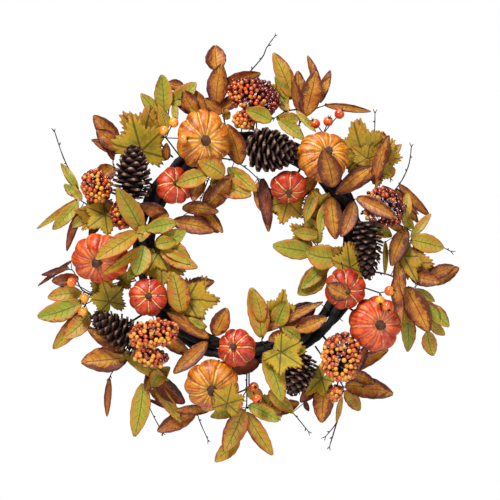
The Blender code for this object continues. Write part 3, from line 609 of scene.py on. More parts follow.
def swept(points: list[Vector], radii: list[float], sides: int = 6) -> BMesh:
    """Draw a round rod along points, closed at both ends.

    Args:
        points: its centre line.
        radii: its radius at each point.
        sides: the corners of its section.

    Returns:
        The rod.
    """
    shape = blank()
    heading = (points[1] - points[0]).normalized()
    turn = heading.to_track_quat("Z", "Y")
    place = aim(points[0], turn, radii[0])
    bmesh.ops.create_circle(shape, cap_ends=False, segments=sides, radius=1.0, matrix=place)
    rim = list(shape.edges)
    for k in range(1, len(points)):
        after = points[min(k + 1, len(points) - 1)]
        onward = (after - points[k - 1]).normalized()
        turn = heading.rotation_difference(onward) @ turn
        heading = onward
        grown = bmesh.ops.extrude_edge_only(shape, edges=rim)["geom"]
        rim = [part for part in grown if isinstance(part, bmesh.types.BMEdge)]
        corners = [part for part in grown if isinstance(part, bmesh.types.BMVert)]
        following = aim(points[k], turn, radii[k])
        bmesh.ops.transform(shape, matrix=following @ place.inverted(), verts=corners)
        place = following
    bmesh.ops.holes_fill(shape, edges=[edge for edge in shape.edges if edge.is_boundary], sides=0)
    bmesh.ops.recalc_face_normals(shape, faces=shape.faces)
    return shape


def eased(points: list[Vector], steps: int = 4) -> list[Vector]:
    """Run a smooth line through points.

    Args:
        points: the points that it passes.
        steps: how many stretches between two of them.

    Returns:
        The points of the line.
    """
    line = []
    for k in range(len(points) - 1):
        before = points[max(k - 1, 0)]
        start, end = points[k], points[k + 1]
        after = points[min(k + 2, len(points) - 1)]
        for step in range(steps):
            t = step / steps
            line.append(0.5 * (2.0 * start + (end - before) * t
                               + (2.0 * before - 5.0 * start + 4.0 * end - after) * t ** 2
                               + (3.0 * start - before - 3.0 * end + after) * t ** 3))
    return line + [points[-1]]


class Workpiece:
    """A mesh put together from shapes and from copies of small templates."""

    def __init__(self, name: str) -> None:
        """Start an empty piece.

        Args:
            name: the finished object's name.
        """
        self.name = name
        self.shell = blank()

    def add(self, shape: BMesh, material: int = 0) -> None:
        """Take in a shape, which is used up.

        Args:
            shape: the shape.
            material: the place of its finish.
        """
        mesh = template(shape)
        self.copy_in(mesh, Matrix.Identity(4), material)
        bpy.data.meshes.remove(mesh)

    def copy_in(self, mesh: bpy.types.Mesh, place: Matrix, material: int = 0,
                tint: float | None = None) -> None:
        """Take in a copy of a template.

        Args:
            mesh: the template.
            place: where the copy goes.
            material: the place of its finish.
            tint: its own tint, where it has one.
        """
        copy = mesh.copy()
        copy.transform(place)
        copy.polygons.foreach_set("material_index", [material] * len(copy.polygons))
        if tint is not None:
            copy.attributes[TINT].data.foreach_set("value", [tint] * len(copy.vertices))
        self.shell.from_mesh(copy)
        bpy.data.meshes.remove(copy)

    def finish(self, slot: str, body: str, replaced: str, materials: list[bpy.types.Material]) -> None:
        """Make the object, put it under its body's empty and hide the node that it stands for.

        Args:
            slot: a material slot name; not used.
            body: the body that it moves with.
            replaced: the node that it stands for.
            materials: its finishes, in their order.
        """
        mesh = bpy.data.meshes.new(self.name)
        self.shell.to_mesh(mesh)
        self.shell.free()
        mesh.shade_smooth()
        for material in materials:
            mesh.materials.append(material)
        piece = bpy.data.objects.new(self.name, mesh)
        bpy.context.scene.collection.objects.link(piece)
        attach(piece, body)
        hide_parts(replaced)
        LOG.info("%s: %d faces", self.name, len(mesh.polygons))


def template(shape: BMesh) -> bpy.types.Mesh:
    """Turn a shape, which is used up, into a mesh to copy."""
    mesh = bpy.data.meshes.new("template")
    shape.to_mesh(mesh)
    shape.free()
    return mesh


# ---- the ring's own places ----
@dataclass(frozen=True)
class Ring:
    """Where the vine ring is, as measured on its solids."""

    centre: Vector
    radius: float
    bundle: float

    @classmethod
    def measured(cls) -> "Ring":
        """Measure the four vines.

        Returns:
            The ring.
        """
        corners = [corner for number in range(1, 5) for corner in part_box(f"vine_{number}")]
        low = Vector(min(corner[k] for corner in corners) for k in range(3))
        high = Vector(max(corner[k] for corner in corners) for k in range(3))
        bundle = (high.y - low.y) / 2.0
        return cls((low + high) / 2.0, (high.x - low.x) / 2.0 - bundle, bundle)

    @property
    def front(self) -> float:
        """The y of the ring's front face."""
        return self.centre.y - self.bundle

    def spot(self, at: float, out: float, lift: float) -> Vector:
        """Find a place round the ring.

        Args:
            at: degrees clockwise from the top.
            out: millimetres outwards from the centre line.
            lift: millimetres in front of the front face.

        Returns:
            The point.
        """
        reach = self.radius + out * MM
        angle = math.radians(at)
        return Vector((self.centre.x + reach * math.sin(angle), self.front - lift * MM,
                       self.centre.z + reach * math.cos(angle)))

    def wired_on(self, point: Vector) -> Vector:
        """Where a wire from this point reaches the vines."""
        outwards = Vector((point.x - self.centre.x, 0.0, point.z - self.centre.z)).normalized()
        middle = self.centre + outwards * self.radius
        return middle + (point - middle).normalized() * self.bundle


def compass(heading: float) -> Vector:
    """The direction in the wreath's own plane, clockwise from up as seen from the front."""
    angle = math.radians(heading)
    return Vector((math.sin(angle), 0.0, math.cos(angle)))


# ---- vines and wires ----
def rounded_copy(node: str, levels: int) -> BMesh:
    """Copy a node's solid, weld its triangles and round it.

    Args:
        node: the node.
        levels: how many times it is subdivided.

    Returns:
        The rounded shape.
    """
    shape = blank()
    shape.from_mesh(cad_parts[node].data)
    bmesh.ops.remove_doubles(shape, verts=shape.verts, dist=1e-5)
    bmesh.ops.join_triangles(shape, faces=shape.faces, angle_face_threshold=0.7, angle_shape_threshold=1.2)
    mesh = template(shape)
    helper = bpy.data.objects.new("helper", mesh)
    bpy.context.scene.collection.objects.link(helper)
    rounding = helper.modifiers.new("round", "SUBSURF")
    rounding.levels = levels
    rounding.render_levels = levels
    smooth = bpy.data.meshes.new_from_object(helper.evaluated_get(bpy.context.evaluated_depsgraph_get()))
    bpy.data.objects.remove(helper)
    bpy.data.meshes.remove(mesh)
    result = blank()
    result.from_mesh(smooth)
    bpy.data.meshes.remove(smooth)
    bmesh.ops.recalc_face_normals(result, faces=result.faces)
    return result


def roughened(shape: BMesh, scale: float, depth: float) -> BMesh:
    """Push a shape's corners in and out by soft noise.

    Args:
        shape: the shape.
        scale: waves per metre.
        depth: the most that a corner moves.

    Returns:
        The same shape.
    """
    shape.normal_update()
    for corner in shape.verts:
        push = noise.fractal(corner.co * scale, 1.0, 2.0, 3)
        corner.co += corner.normal * (push * depth)
    return shape


@dataclass
class VineRing:
    """The twisted vines and the wires that bind them."""

    count: int = 4
    bark_scale: float = 95.0
    bark_depth: float = 0.0016

    def build(self) -> list[Workpiece]:
        """Round and roughen each vine, and round the binding wires.

        Returns:
            The vines, then the wires.
        """
        pieces = []
        for number in range(1, self.count + 1):
            piece = Workpiece(f"bark_vine_{number}")
            piece.add(roughened(rounded_copy(f"vine_{number}", 2), self.bark_scale, self.bark_depth))
            pieces.append(piece)
        for side in ("left", "right"):
            piece = Workpiece(f"bound_wire_{side}")
            piece.add(rounded_copy(f"binding_wire_{side}", 1))
            pieces.append(piece)
        return pieces

    def dress(self, pieces: list[Workpiece], wardrobe: Wardrobe) -> None:
        """Give the vines bark and the wires lacquer."""
        for number, piece in enumerate(pieces[:self.count], 1):
            piece.finish("vine", BODY, f"vine_{number}", [wardrobe.vine])
        for side, piece in zip(("left", "right"), pieces[self.count:]):
            piece.finish("wire", BODY, f"binding_wire_{side}", [wardrobe.wire])


@dataclass
class Hanger:
    """The eye at the back of the top and the loop that hangs on the door's hook."""

    levels: int = 2

    def build(self) -> Workpiece:
        """Round the loop's wire."""
        piece = Workpiece("wire_loop")
        piece.add(rounded_copy("hanging_loop", self.levels))
        return piece

    def dress(self, piece: Workpiece, wardrobe: Wardrobe) -> None:
        """Lacquer the loop and the eye, whose own solid stays."""
        piece.finish("wire", LOOP_BODY, "hanging_loop", [wardrobe.wire])
        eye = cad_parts["hanger_eye"]
        for place in eye.material_slots:
            place.material = wardrobe.wire


# ---- pumpkins ----
@dataclass
class Pumpkin:
    """A moulded foam pumpkin on a pick, stem end out; lean is how far that end tips aside and up."""

    label: str
    at: float
    out: float
    width: float
    lean: tuple[float, float]
    look: PumpkinLook
    lift: float = 0.0
    tall: float = 1.0
    lobes: int = 8
    groove_depth: float = 0.12
    groove_width: float = 0.125
    squash: float = 0.78
    seat_gap: float = 1.0
    sections: int = 144
    rows: int = 44
    stem_share: float = 0.135

    @property
    def half(self) -> float:
        """Half its width, in metres."""
        return self.width * MM / 2.0

    @property
    def axis(self) -> Vector:
        """Where its stem points."""
        return Vector((self.lean[0], -1.0, self.lean[1])).normalized()

    def middle(self, ring: Ring) -> Vector:
        """The middle of the body, seated on the front of the ring."""
        slope = math.sqrt(max(0.0, 1.0 - self.axis.y ** 2))
        depth = math.hypot(self.half * self.squash * self.axis.y, self.half * slope)
        return ring.spot(self.at, self.out, self.lift + depth / MM + self.seat_gap)

    def placed(self, ring: Ring) -> Matrix:
        """The matrix from the unit pumpkin, stem up, to its place."""
        middle = self.middle(ring)
        stretch = Matrix.Diagonal((1.0, 1.0, self.tall, 1.0))
        turn = self.axis.to_track_quat("Z", "Y").to_matrix().to_4x4()
        return Matrix.Translation(middle) @ stretch @ turn @ Matrix.Scale(self.half, 4)

    def body(self, seed: int) -> BMesh:
        """Model the lobed body about its own middle, with the grooves and the crown marked.

        Args:
            seed: which of its own irregularities it gets.

        Returns:
            The unit body.
        """
        shape = blank()
        bmesh.ops.create_uvsphere(shape, u_segments=self.sections, v_segments=self.rows, radius=1.0,
                                  calc_uvs=True)
        tint, mark = shape.verts.layers.float[TINT], shape.verts.layers.float[MARK]
        for corner in shape.verts:
            turn = math.atan2(corner.co.y, corner.co.x)
            rise = max(-1.0, min(1.0, corner.co.z))
            girth = max(0.0, 1.0 - abs(rise) ** 2.3) ** 0.52
            sway = 0.16 * math.sin(2.0 * turn + seed) + 0.10 * math.sin(3.0 * turn + 2.3 * seed)
            wander = 0.07 * math.sin(4.5 * rise + seed + 2.0 * turn)
            phase = (self.lobes * (turn + 0.5 * sway + wander * 0.6) / (2.0 * math.pi)) % 1.0
            from_groove = min(phase, 1.0 - phase)
            swell = math.sin(math.pi * from_groove) ** 0.55
            reach = girth * (1.0 - self.groove_depth * (1.0 - swell))
            reach *= 1.0 + 0.02 * math.sin(3.0 * turn + seed)
            height = 0.82 * self.squash * math.copysign(abs(rise) ** 0.9, rise)
            dimple = 0.17 if rise > 0.0 else 0.12
            height -= math.copysign(dimple * math.exp(-(girth / 0.30) ** 2), rise)
            height *= 1.0 - 0.05 * (1.0 - swell)
            aside = from_groove * (2.0 * math.pi / self.lobes) * max(girth, 0.12)
            corner[mark] = max(0.0, 1.0 - aside / self.groove_width)
            corner[tint] = max(0.0, 1.0 - girth / 0.75) if rise > 0.0 else 0.0
            corner.co = Vector((reach * math.cos(turn), reach * math.sin(turn), height))
            corner.co *= 1.0 + 0.012 * noise.noise(corner.co * 6.0 + Vector((seed, 0.0, 0.0)))
        return shape

    def build(self, ring: Ring) -> list[Workpiece]:
        """Model the body on its pick, and the stem.

        Args:
            ring: the vine ring.

        Returns:
            The body and the stem.
        """
        seed = int(self.label) * 3
        place = self.placed(ring)
        body = Workpiece(f"foam_pumpkin_{self.label}")
        shape = self.body(seed)
        bmesh.ops.transform(shape, matrix=place, verts=shape.verts)
        body.add(shape)
        middle = self.middle(ring)
        body.add(swept([middle, ring.wired_on(middle)], [PICK_RADIUS] * 2, 8), 1)
        stem = Workpiece(f"stub_{self.label}")
        share = self.stem_share
        low = 0.55 * self.squash
        heights = [low + rise for rise in (0.0, 0.10, 0.17, 0.26, 0.34, 0.385, 0.40)]
        girths = [share * part for part in (1.45, 1.30, 0.95, 0.80, 0.98, 1.02, 0.82)]
        lean = 0.05 * math.sin(seed)
        line = [Vector((lean * (height - low), 0.0, height)) for height in heights]
        stub = swept(line, girths, 30)
        for corner in stub.verts:
            turn = math.atan2(corner.co.y, corner.co.x)
            ridge = 1.0 + 0.07 * math.cos(6.0 * turn + 5.0 * (corner.co.z - low))
            corner.co.x *= ridge
            corner.co.y *= ridge
        bmesh.ops.transform(stub, matrix=place, verts=stub.verts)
        stem.add(stub)
        return [body, stem]

    def dress(self, pieces: list[Workpiece], wardrobe: Wardrobe) -> None:
        """Paint the body and the stem."""
        slot = f"pumpkin_{self.look.value}"
        pieces[0].finish(slot, BODY, f"pumpkin_{self.label}", [wardrobe.pumpkins[self.look], wardrobe.wire])
        pieces[1].finish("pumpkin_stem", BODY, f"pumpkin_stem_{self.label}", [wardrobe.stub])


# ---- pinecones ----
@dataclass
class Pinecone:
    """A pinecone of overlapping scales; heading is where its tip points, nod how far it tips forward."""

    label: str
    at: float
    out: float
    length: float
    width: float
    heading: float
    nod: float
    lift: float = 0.0
    scales: int = 76
    scale_width: float = 0.57
    seat_gap: float = 1.0
    outline: tuple[tuple[float, float], ...] = (
        (-0.50, 0.42), (-0.44, 0.80), (-0.34, 0.97), (-0.16, 1.0), (0.02, 0.93), (0.18, 0.78), (0.32, 0.60),
        (0.42, 0.40), (0.50, 0.14))

    def girth(self, height: float) -> float:
        """The radius at a height from −0.5 to 0.5, as a share of half the width."""
        for (low, start), (high, end) in zip(self.outline, self.outline[1:]):
            if height <= high:
                return start + (end - start) * (height - low) / (high - low)
        return self.outline[-1][1]

    def scale_shape(self) -> BMesh:
        """Model one scale, root at the origin, running along +X with its upper face towards +Z.

        Returns:
            A thin plate that widens, thickens at its rounded rim and turns up.
        """
        shape = blank()
        bmesh.ops.create_grid(shape, x_segments=4, y_segments=4, size=0.5)
        for corner in shape.verts:
            along = corner.co.x + 0.5
            aside = corner.co.y
            round_end = 1.0 - 0.42 * (2.0 * abs(aside)) ** 2.2 * along ** 2
            spread = 0.34 + 0.66 * min(1.0, along * 1.35)
            corner.co = Vector((along * round_end, aside * spread,
                                0.20 * along ** 2.5 - 0.30 * aside ** 2 * along))
        thicken(shape, 0.07)
        mark = shape.verts.layers.float[MARK]
        for corner in shape.verts:
            reach = max(0.0, min(1.0, corner.co.x))
            corner[mark] = reach
            if reach > 0.72:
                corner.co.z += 0.10 * (reach - 0.72) / 0.28 * (1.0 if corner.normal.z > 0.2 else -0.4)
        return shape

    def build(self, ring: Ring) -> Workpiece:
        """Set the scales round a core in the turn that real cones grow in.

        Args:
            ring: the vine ring.

        Returns:
            The cone on its pick.
        """
        nod = math.radians(self.nod)
        axis = (compass(self.heading) * math.cos(nod) + FRONT * math.sin(nod)).normalized()
        half = self.width * MM / 2.0
        end = abs(axis.y) * self.length * MM * 0.25
        middle = ring.spot(self.at, self.out, self.lift + (half + end) / MM + self.seat_gap)
        upright = Matrix.Translation(middle) @ axis.to_track_quat("Z", "Y").to_matrix().to_4x4()
        piece = Workpiece(f"scaled_cone_{self.label}")
        plate = template(self.scale_shape())
        rng = random.Random(int(self.label))
        for number in range(self.scales):
            share = number / (self.scales - 1)
            height = -0.47 + 0.95 * share ** 1.06
            girth = self.girth(height) * half
            tilt = math.radians(-22.0 + 88.0 * share ** 1.3 + rng.uniform(-5.0, 5.0))
            size = girth * (0.72 if share > 0.1 else 0.85)
            wide = half * (self.scale_width + 0.10 * math.sin(math.pi * share)) * (1.0 - 0.45 * share ** 3)
            lift = Matrix.Translation((girth - size * math.cos(tilt), 0.0, height * self.length * MM
                                       - size * math.sin(tilt) * 0.6))
            slope = Matrix.Rotation(-tilt, 4, "Y")
            turn = Matrix.Rotation(number * GOLDEN_TURN, 4, "Z")
            shaped = Matrix.Diagonal((size, wide, size * 0.9, 1.0))
            piece.copy_in(plate, upright @ turn @ lift @ slope @ shaped, 0, rng.random())
        bpy.data.meshes.remove(plate)
        heights = (-0.46, -0.2, 0.1, 0.3, 0.46)
        line = [upright @ Vector((0.0, 0.0, height * self.length * MM)) for height in heights]
        piece.add(swept(line, [half * share for share in (0.40, 0.50, 0.46, 0.30, 0.08)], 12))
        piece.add(swept([middle, ring.wired_on(middle)], [PICK_RADIUS] * 2, 8), 1)
        return piece

    def dress(self, piece: Workpiece, wardrobe: Wardrobe) -> None:
        """Give the scales their woody finish."""
        piece.finish("cone", BODY, f"pinecone_{self.label}", [wardrobe.cone, wardrobe.wire])


# ---- berries and hips ----
@dataclass
class Lobe:
    """One bunch of a berry cluster: its place, its half sizes in millimetres, its tilt and how ripe it is."""

    at: float
    out: float
    half_width: float
    half_height: float
    tilt: float
    lift: float
    ripe: tuple[float, float] = (0.1, 0.6)
    spacing: float = 6.3


@dataclass
class BerryCluster:
    """Small lacquered berries on wire stems that fan out from a pick."""

    label: str
    lobes: tuple[Lobe, ...]
    berry_radius: float = 0.0035
    wire_radius: float = 0.00042
    half_depth: float = 15.0
    gaps: float = 0.04

    def berry(self) -> bpy.types.Mesh:
        """Model one berry with the dark dot opposite its stem, as a template."""
        shape = blank()
        bmesh.ops.create_uvsphere(shape, u_segments=10, v_segments=7, radius=1.0)
        mark = shape.verts.layers.float[MARK]
        for corner in shape.verts:
            corner[mark] = 1.0 if corner.co.z > 0.99 else 0.0
            corner.co.z *= 1.04 if corner.co.z < 0.99 else 0.98
        return template(shape)

    def wire(self) -> bpy.types.Mesh:
        """Model a unit length of stem wire, as a template."""
        shape = blank()
        bmesh.ops.create_cone(shape, cap_ends=True, segments=4, radius1=1.0, radius2=0.8, depth=1.0,
                              matrix=Matrix.Translation((0.0, 0.0, 0.5)))
        return template(shape)

    def build(self, ring: Ring) -> Workpiece:
        """Spread the berries over each bunch.

        Args:
            ring: the vine ring.

        Returns:
            The cluster.
        """
        piece = Workpiece(f"berries_{self.label}")
        rng = random.Random(100 + int(self.label))
        berry, wire = self.berry(), self.wire()
        for lobe in self.lobes:
            middle = ring.spot(lobe.at, lobe.out, lobe.lift)
            tilt = Matrix.Rotation(math.radians(lobe.tilt), 3, "Y")
            a, b, c = lobe.half_width - 2.5, self.half_depth - 2.0, lobe.half_height - 2.5
            sides = ((a * b) ** 1.6 / 3.0 + (a * c) ** 1.6 / 3.0 + (b * c) ** 1.6 / 3.0)
            area = 4.0 * math.pi * sides ** (1.0 / 1.6)
            count = max(6, int(area / lobe.spacing ** 2))
            core = middle + tilt @ Vector((0.0, 2.0 * MM, 0.0))
            for number in range(count):
                if rng.random() < self.gaps:
                    continue
                rise = 1.0 - 2.0 * (number + 0.5) / count
                turn = number * GOLDEN_TURN
                flat = math.sqrt(1.0 - rise * rise)
                shell = rng.uniform(0.80, 1.03)
                off = Vector((a * flat * math.cos(turn), b * rise, c * flat * math.sin(turn))) * (MM * shell)
                off += Vector([rng.uniform(-1.1, 1.1) * MM for _ in range(3)])
                place = middle + tilt @ off
                way = place - core
                outwards = way.to_track_quat("Z", "Y")
                size = self.berry_radius * rng.uniform(0.82, 1.05)
                # painted shade: berries towards the right, the top and the back of each bunch are made deeper
                # in colour, on top of their random ripeness
                painted_shade = off.x / (a * MM) + off.z / (c * MM) + off.y / (b * MM)
                ripe = rng.uniform(*lobe.ripe) + 0.22 * painted_shade
                piece.copy_in(berry, aim(place, outwards, size), 0, ripe)
                sized = Matrix.Diagonal((self.wire_radius, self.wire_radius, way.length * 0.7, 1.0))
                start = Matrix.Translation(core + way * 0.3) @ outwards.to_matrix().to_4x4()
                piece.copy_in(wire, start @ sized, 1, 0.0)
            inner = [core + tilt @ Vector((share * a * MM * 0.6, 0.0, 0.0)) for share in (-1.0, 0.0, 1.0)]
            piece.add(swept(eased(inner, 2), [0.0011] * 5, 6), 1)
        for mesh in (berry, wire):
            bpy.data.meshes.remove(mesh)
        middles = [ring.spot(lobe.at, lobe.out, lobe.lift) for lobe in self.lobes]
        if len(middles) > 1:
            piece.add(swept(middles, [PICK_RADIUS * 0.7] * len(middles), 6), 1)
        piece.add(swept([middles[0], ring.wired_on(middles[0])], [PICK_RADIUS] * 2, 8), 1)
        return piece

    def dress(self, piece: Workpiece, wardrobe: Wardrobe) -> None:
        """Lacquer the berries."""
        piece.finish("berry", BODY, f"berry_cluster_{self.label}", [wardrobe.berry, wardrobe.twig])


@dataclass
class HipSprig:
    """Three rose hips on stalks that part from one twig; every place is (at, out, lift)."""

    label: str
    parting: tuple[float, float, float]
    hips: tuple[tuple[float, float, float], ...]
    radius: float = 0.0072
    ripe: tuple[float, float] = (0.05, 0.42)
    stalk_radius: float = 0.0008
    sepals: int = 5

    def sepal(self) -> BMesh:
        """Model one pointed sepal, root at the origin, running along +Z."""
        shape = blank()
        bmesh.ops.create_cone(shape, cap_ends=True, segments=6, radius1=0.19, radius2=0.02, depth=0.85,
                              matrix=Matrix.Translation((0.0, 0.0, 0.40)))
        bmesh.ops.scale(shape, vec=(1.0, 0.45, 1.0), verts=shape.verts)
        return shape

    def build(self, ring: Ring) -> Workpiece:
        """Model the stalks, the hips and the star at each hip's end.

        Args:
            ring: the vine ring.

        Returns:
            The sprig.
        """
        piece = Workpiece(f"hips_{self.label}")
        rng = random.Random(200 + int(self.label))
        parting = ring.spot(*self.parting)
        root = ring.wired_on(parting)
        bend = (root + parting) / 2.0 + Vector((0.0, -0.0015, 0.0))
        line = eased([root, bend, parting], 4)
        piece.add(swept(line, [self.stalk_radius * 1.3] * len(line), 8), 1)
        sepal = template(self.sepal())
        for place in self.hips:
            middle = ring.spot(*place)
            axis = (middle - parting).normalized()
            upright = aim(middle, axis.to_track_quat("Z", "Y"), self.radius)
            fruit = blank()
            bmesh.ops.create_uvsphere(fruit, u_segments=24, v_segments=16, radius=1.0)
            tint, mark = fruit.verts.layers.float[TINT], fruit.verts.layers.float[MARK]
            blush = rng.uniform(0.0, 2.0 * math.pi)
            ripe = rng.uniform(*self.ripe)
            for corner in fruit.verts:
                side = 0.5 + 0.5 * math.cos(math.atan2(corner.co.y, corner.co.x) - blush)
                corner[tint] = ripe + 0.5 * side * (1.0 - corner.co.z ** 2)
                corner[mark] = max(0.0, (corner.co.z - 0.86) / 0.14)
                corner.co.z *= 0.96 if corner.co.z > 0.0 else 1.02
                corner.co *= 1.0 + 0.03 * noise.noise(corner.co * 1.7 + Vector((blush, 0.0, 0.0)))
            bmesh.ops.transform(fruit, matrix=upright, verts=fruit.verts)
            piece.add(fruit)
            for number in range(self.sepals):
                around = 2.0 * math.pi * (number + rng.uniform(-0.1, 0.1)) / self.sepals
                turn = Matrix.Rotation(around, 4, "Z")
                spread = Matrix.Rotation(math.radians(rng.uniform(42.0, 62.0)), 4, "X")
                start = Matrix.Translation((0.0, 0.0, 0.84))
                piece.copy_in(sepal, upright @ start @ turn @ spread, 2, 0.5)
            swing = Vector((rng.uniform(-1.0, 1.0), rng.uniform(-1.0, 1.0), 0.0)) * MM
            stalk = eased([parting, parting.lerp(middle, 0.5) + swing, middle - axis * self.radius * 0.7], 4)
            piece.add(swept(stalk, [self.stalk_radius] * len(stalk), 7), 1)
        bpy.data.meshes.remove(sepal)
        return piece

    def dress(self, piece: Workpiece, wardrobe: Wardrobe) -> None:
        """Lacquer the hips."""
        piece.finish("hip", BODY, f"hip_sprig_{self.label}", [wardrobe.hip, wardrobe.twig, wardrobe.calyx])


# ---- leaves ----
@dataclass(frozen=True)
class Leaf:
    """A leaf from its base at (at, out, foot_lift), length along its heading; its tip is at tip_lift."""

    kind: LeafKind
    at: float
    out: float
    heading: float
    length: float
    width: float
    foot_lift: float
    tip_lift: float


@dataclass(frozen=True)
class Seat:
    """Where a leaf is: its base, its tip and its roll about its own length."""

    base: Vector
    tip: Vector
    roll: float

    @property
    def along(self) -> Vector:
        """From the base to the tip, as a unit vector."""
        return (self.tip - self.base).normalized()

    @property
    def length(self) -> float:
        """From the base to the tip, in metres."""
        return (self.tip - self.base).length

    @property
    def across(self) -> Vector:
        """Across the leaf."""
        level = self.along.cross(FRONT).normalized()
        return Matrix.Rotation(math.radians(self.roll), 3, self.along) @ level

    @property
    def face(self) -> Vector:
        """Out of the leaf's upper face."""
        return self.across.cross(self.along)

    def placed(self) -> Matrix:
        """The matrix from a leaf that runs along +Y, face to +Z, to this seat, in metres."""
        turn = Matrix((self.across, self.along, self.face)).transposed().to_4x4()
        return Matrix.Translation(self.base) @ turn


class Seating:
    """Finds how a spray's leaves were shifted to clear their neighbours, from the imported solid's corners."""

    TIP_SHIFTS = range(-60, 61, 4)
    FOOT_SHIFTS = (0, -4, 4, -8, 8, -14, 14, -22, 22)
    ROLLS = (0, -24, 24, -48, 48)
    NEAR = 0.0015

    def __init__(self, node: str, ring: Ring) -> None:
        """Sort the corners of a spray's solid.

        Args:
            node: the spray's node.
            ring: the vine ring.
        """
        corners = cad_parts[node].data.vertices
        self.ring = ring
        self.tree = kdtree.KDTree(len(corners))
        for number, corner in enumerate(corners):
            self.tree.insert(corner.co, number)
        self.tree.balance()

    def seat(self, leaf: Leaf, foot_shift: float, tip_shift: float, roll: float) -> Seat:
        """Seat a leaf as its row says, shifted in depth and rolled."""
        base = self.ring.spot(leaf.at, leaf.out, leaf.foot_lift + foot_shift)
        tip = base + compass(leaf.heading) * (leaf.length * MM)
        tip.y = self.ring.front - (leaf.tip_lift + tip_shift) * MM
        return Seat(base, tip, roll)

    def corners_of(self, leaf: Leaf, seat: Seat) -> list[Vector]:
        """The corners that the solid of a leaf in this seat has at its sides."""
        if leaf.kind is LeafKind.MAPLE:
            rim = []
            for degrees, reach in ((60.0, 0.92), (-60.0, 0.92), (118.0, 0.62), (-118.0, 0.62)):
                turn = math.radians(degrees)
                rise = 0.096 * seat.length * reach * abs(math.sin(turn))
                aside = leaf.width * MM * 0.62 * reach * math.sin(turn)
                rim.append(seat.base + seat.along * (seat.length * reach * math.cos(turn))
                           + seat.across * aside + seat.face * rise)
            return rim
        share, spread = (0.66, 0.84) if seat.length > 0.040 else (0.46, 1.0)
        half = leaf.width * MM / 2.0 * spread
        middle = seat.base + seat.along * (seat.length * share) + seat.face * (0.32 * (half - 0.0009))
        return [middle + seat.across * half, middle - seat.across * half]

    def found(self, leaf: Leaf) -> Seat:
        """Find the seat whose corners the solid has.

        Args:
            leaf: the leaf.

        Returns:
            Its seat, or the one that its row gives where the solid leaves it out.
        """
        best, miss = self.seat(leaf, 0.0, 0.0, 0.0), 3.0 * self.NEAR
        for tip_shift in self.TIP_SHIFTS:
            if self.tree.find(self.seat(leaf, 0.0, tip_shift, 0.0).tip)[2] > self.NEAR:
                continue
            for foot_shift in self.FOOT_SHIFTS:
                for roll in self.ROLLS:
                    seat = self.seat(leaf, foot_shift, tip_shift, roll)
                    off = sum(self.tree.find(corner)[2] for corner in self.corners_of(leaf, seat))
                    if off < miss:
                        best, miss = seat, off
        return best


@dataclass(frozen=True)
class OvalBlade:
    """The pointed oval leaf: a thin folded sheet that bows, twists and waves, with a curled tip."""

    columns: int = 9
    rows: int = 16
    fold: float = 0.32
    arch: float = 0.09
    thickness: float = 0.0005
    fullness: float = 0.66
    spread: float = 1.10

    def shape(self, width: float, length: float, rng: random.Random) -> BMesh:
        """Model a leaf that runs along +Y from the origin, its face to +Z.

        Args:
            width: its width in metres.
            length: its length in metres.
            rng: where its own irregularities come from.

        Returns:
            The leaf, with its surface map from base (v = 0) to tip.
        """
        shape = blank()
        bmesh.ops.create_grid(shape, x_segments=self.columns, y_segments=self.rows, size=0.5)
        uv = shape.loops.layers.uv[SURFACE]
        for loop in (loop for face in shape.faces for loop in face.loops):
            loop[uv].uv = (loop.vert.co.x + 0.5, loop.vert.co.y + 0.5)
        bow = rng.uniform(-0.12, 0.12)
        wave, phase = rng.uniform(0.3, 0.9), rng.uniform(0.0, 2.0 * math.pi)
        curl, twist = rng.uniform(-0.04, 0.12), rng.uniform(-0.6, 0.6)
        for corner in shape.verts:
            across, along = corner.co.x * 2.0, corner.co.y + 0.5
            outline = math.sin(math.pi * min(0.985, 0.02 + 0.965 * along) ** 0.90) ** self.fullness
            nick = 1.0 + 0.03 * math.sin(29.0 * along + phase) * abs(across) ** 3
            half = 0.5 * self.spread * width * outline * nick
            aside = across * half
            rise = self.fold * max(0.0, abs(aside) - 0.0009) * (0.55 + 0.45 * abs(across))
            turn = twist * (along - 0.3)
            aside, rise = (aside * math.cos(turn) - rise * math.sin(turn),
                           aside * math.sin(turn) + rise * math.cos(turn))
            rise += self.arch * length * (0.25 - (along - 0.5) ** 2) * 0.6
            rise += 0.0018 * wave * abs(across) * math.sin(11.0 * along + phase + across)
            rise += curl * length * max(0.0, along - 0.70) ** 2 * 5.0
            corner.co = Vector((aside + bow * width * math.sin(math.pi * along), along * length, rise))
        thicken(shape, self.thickness)
        return shape


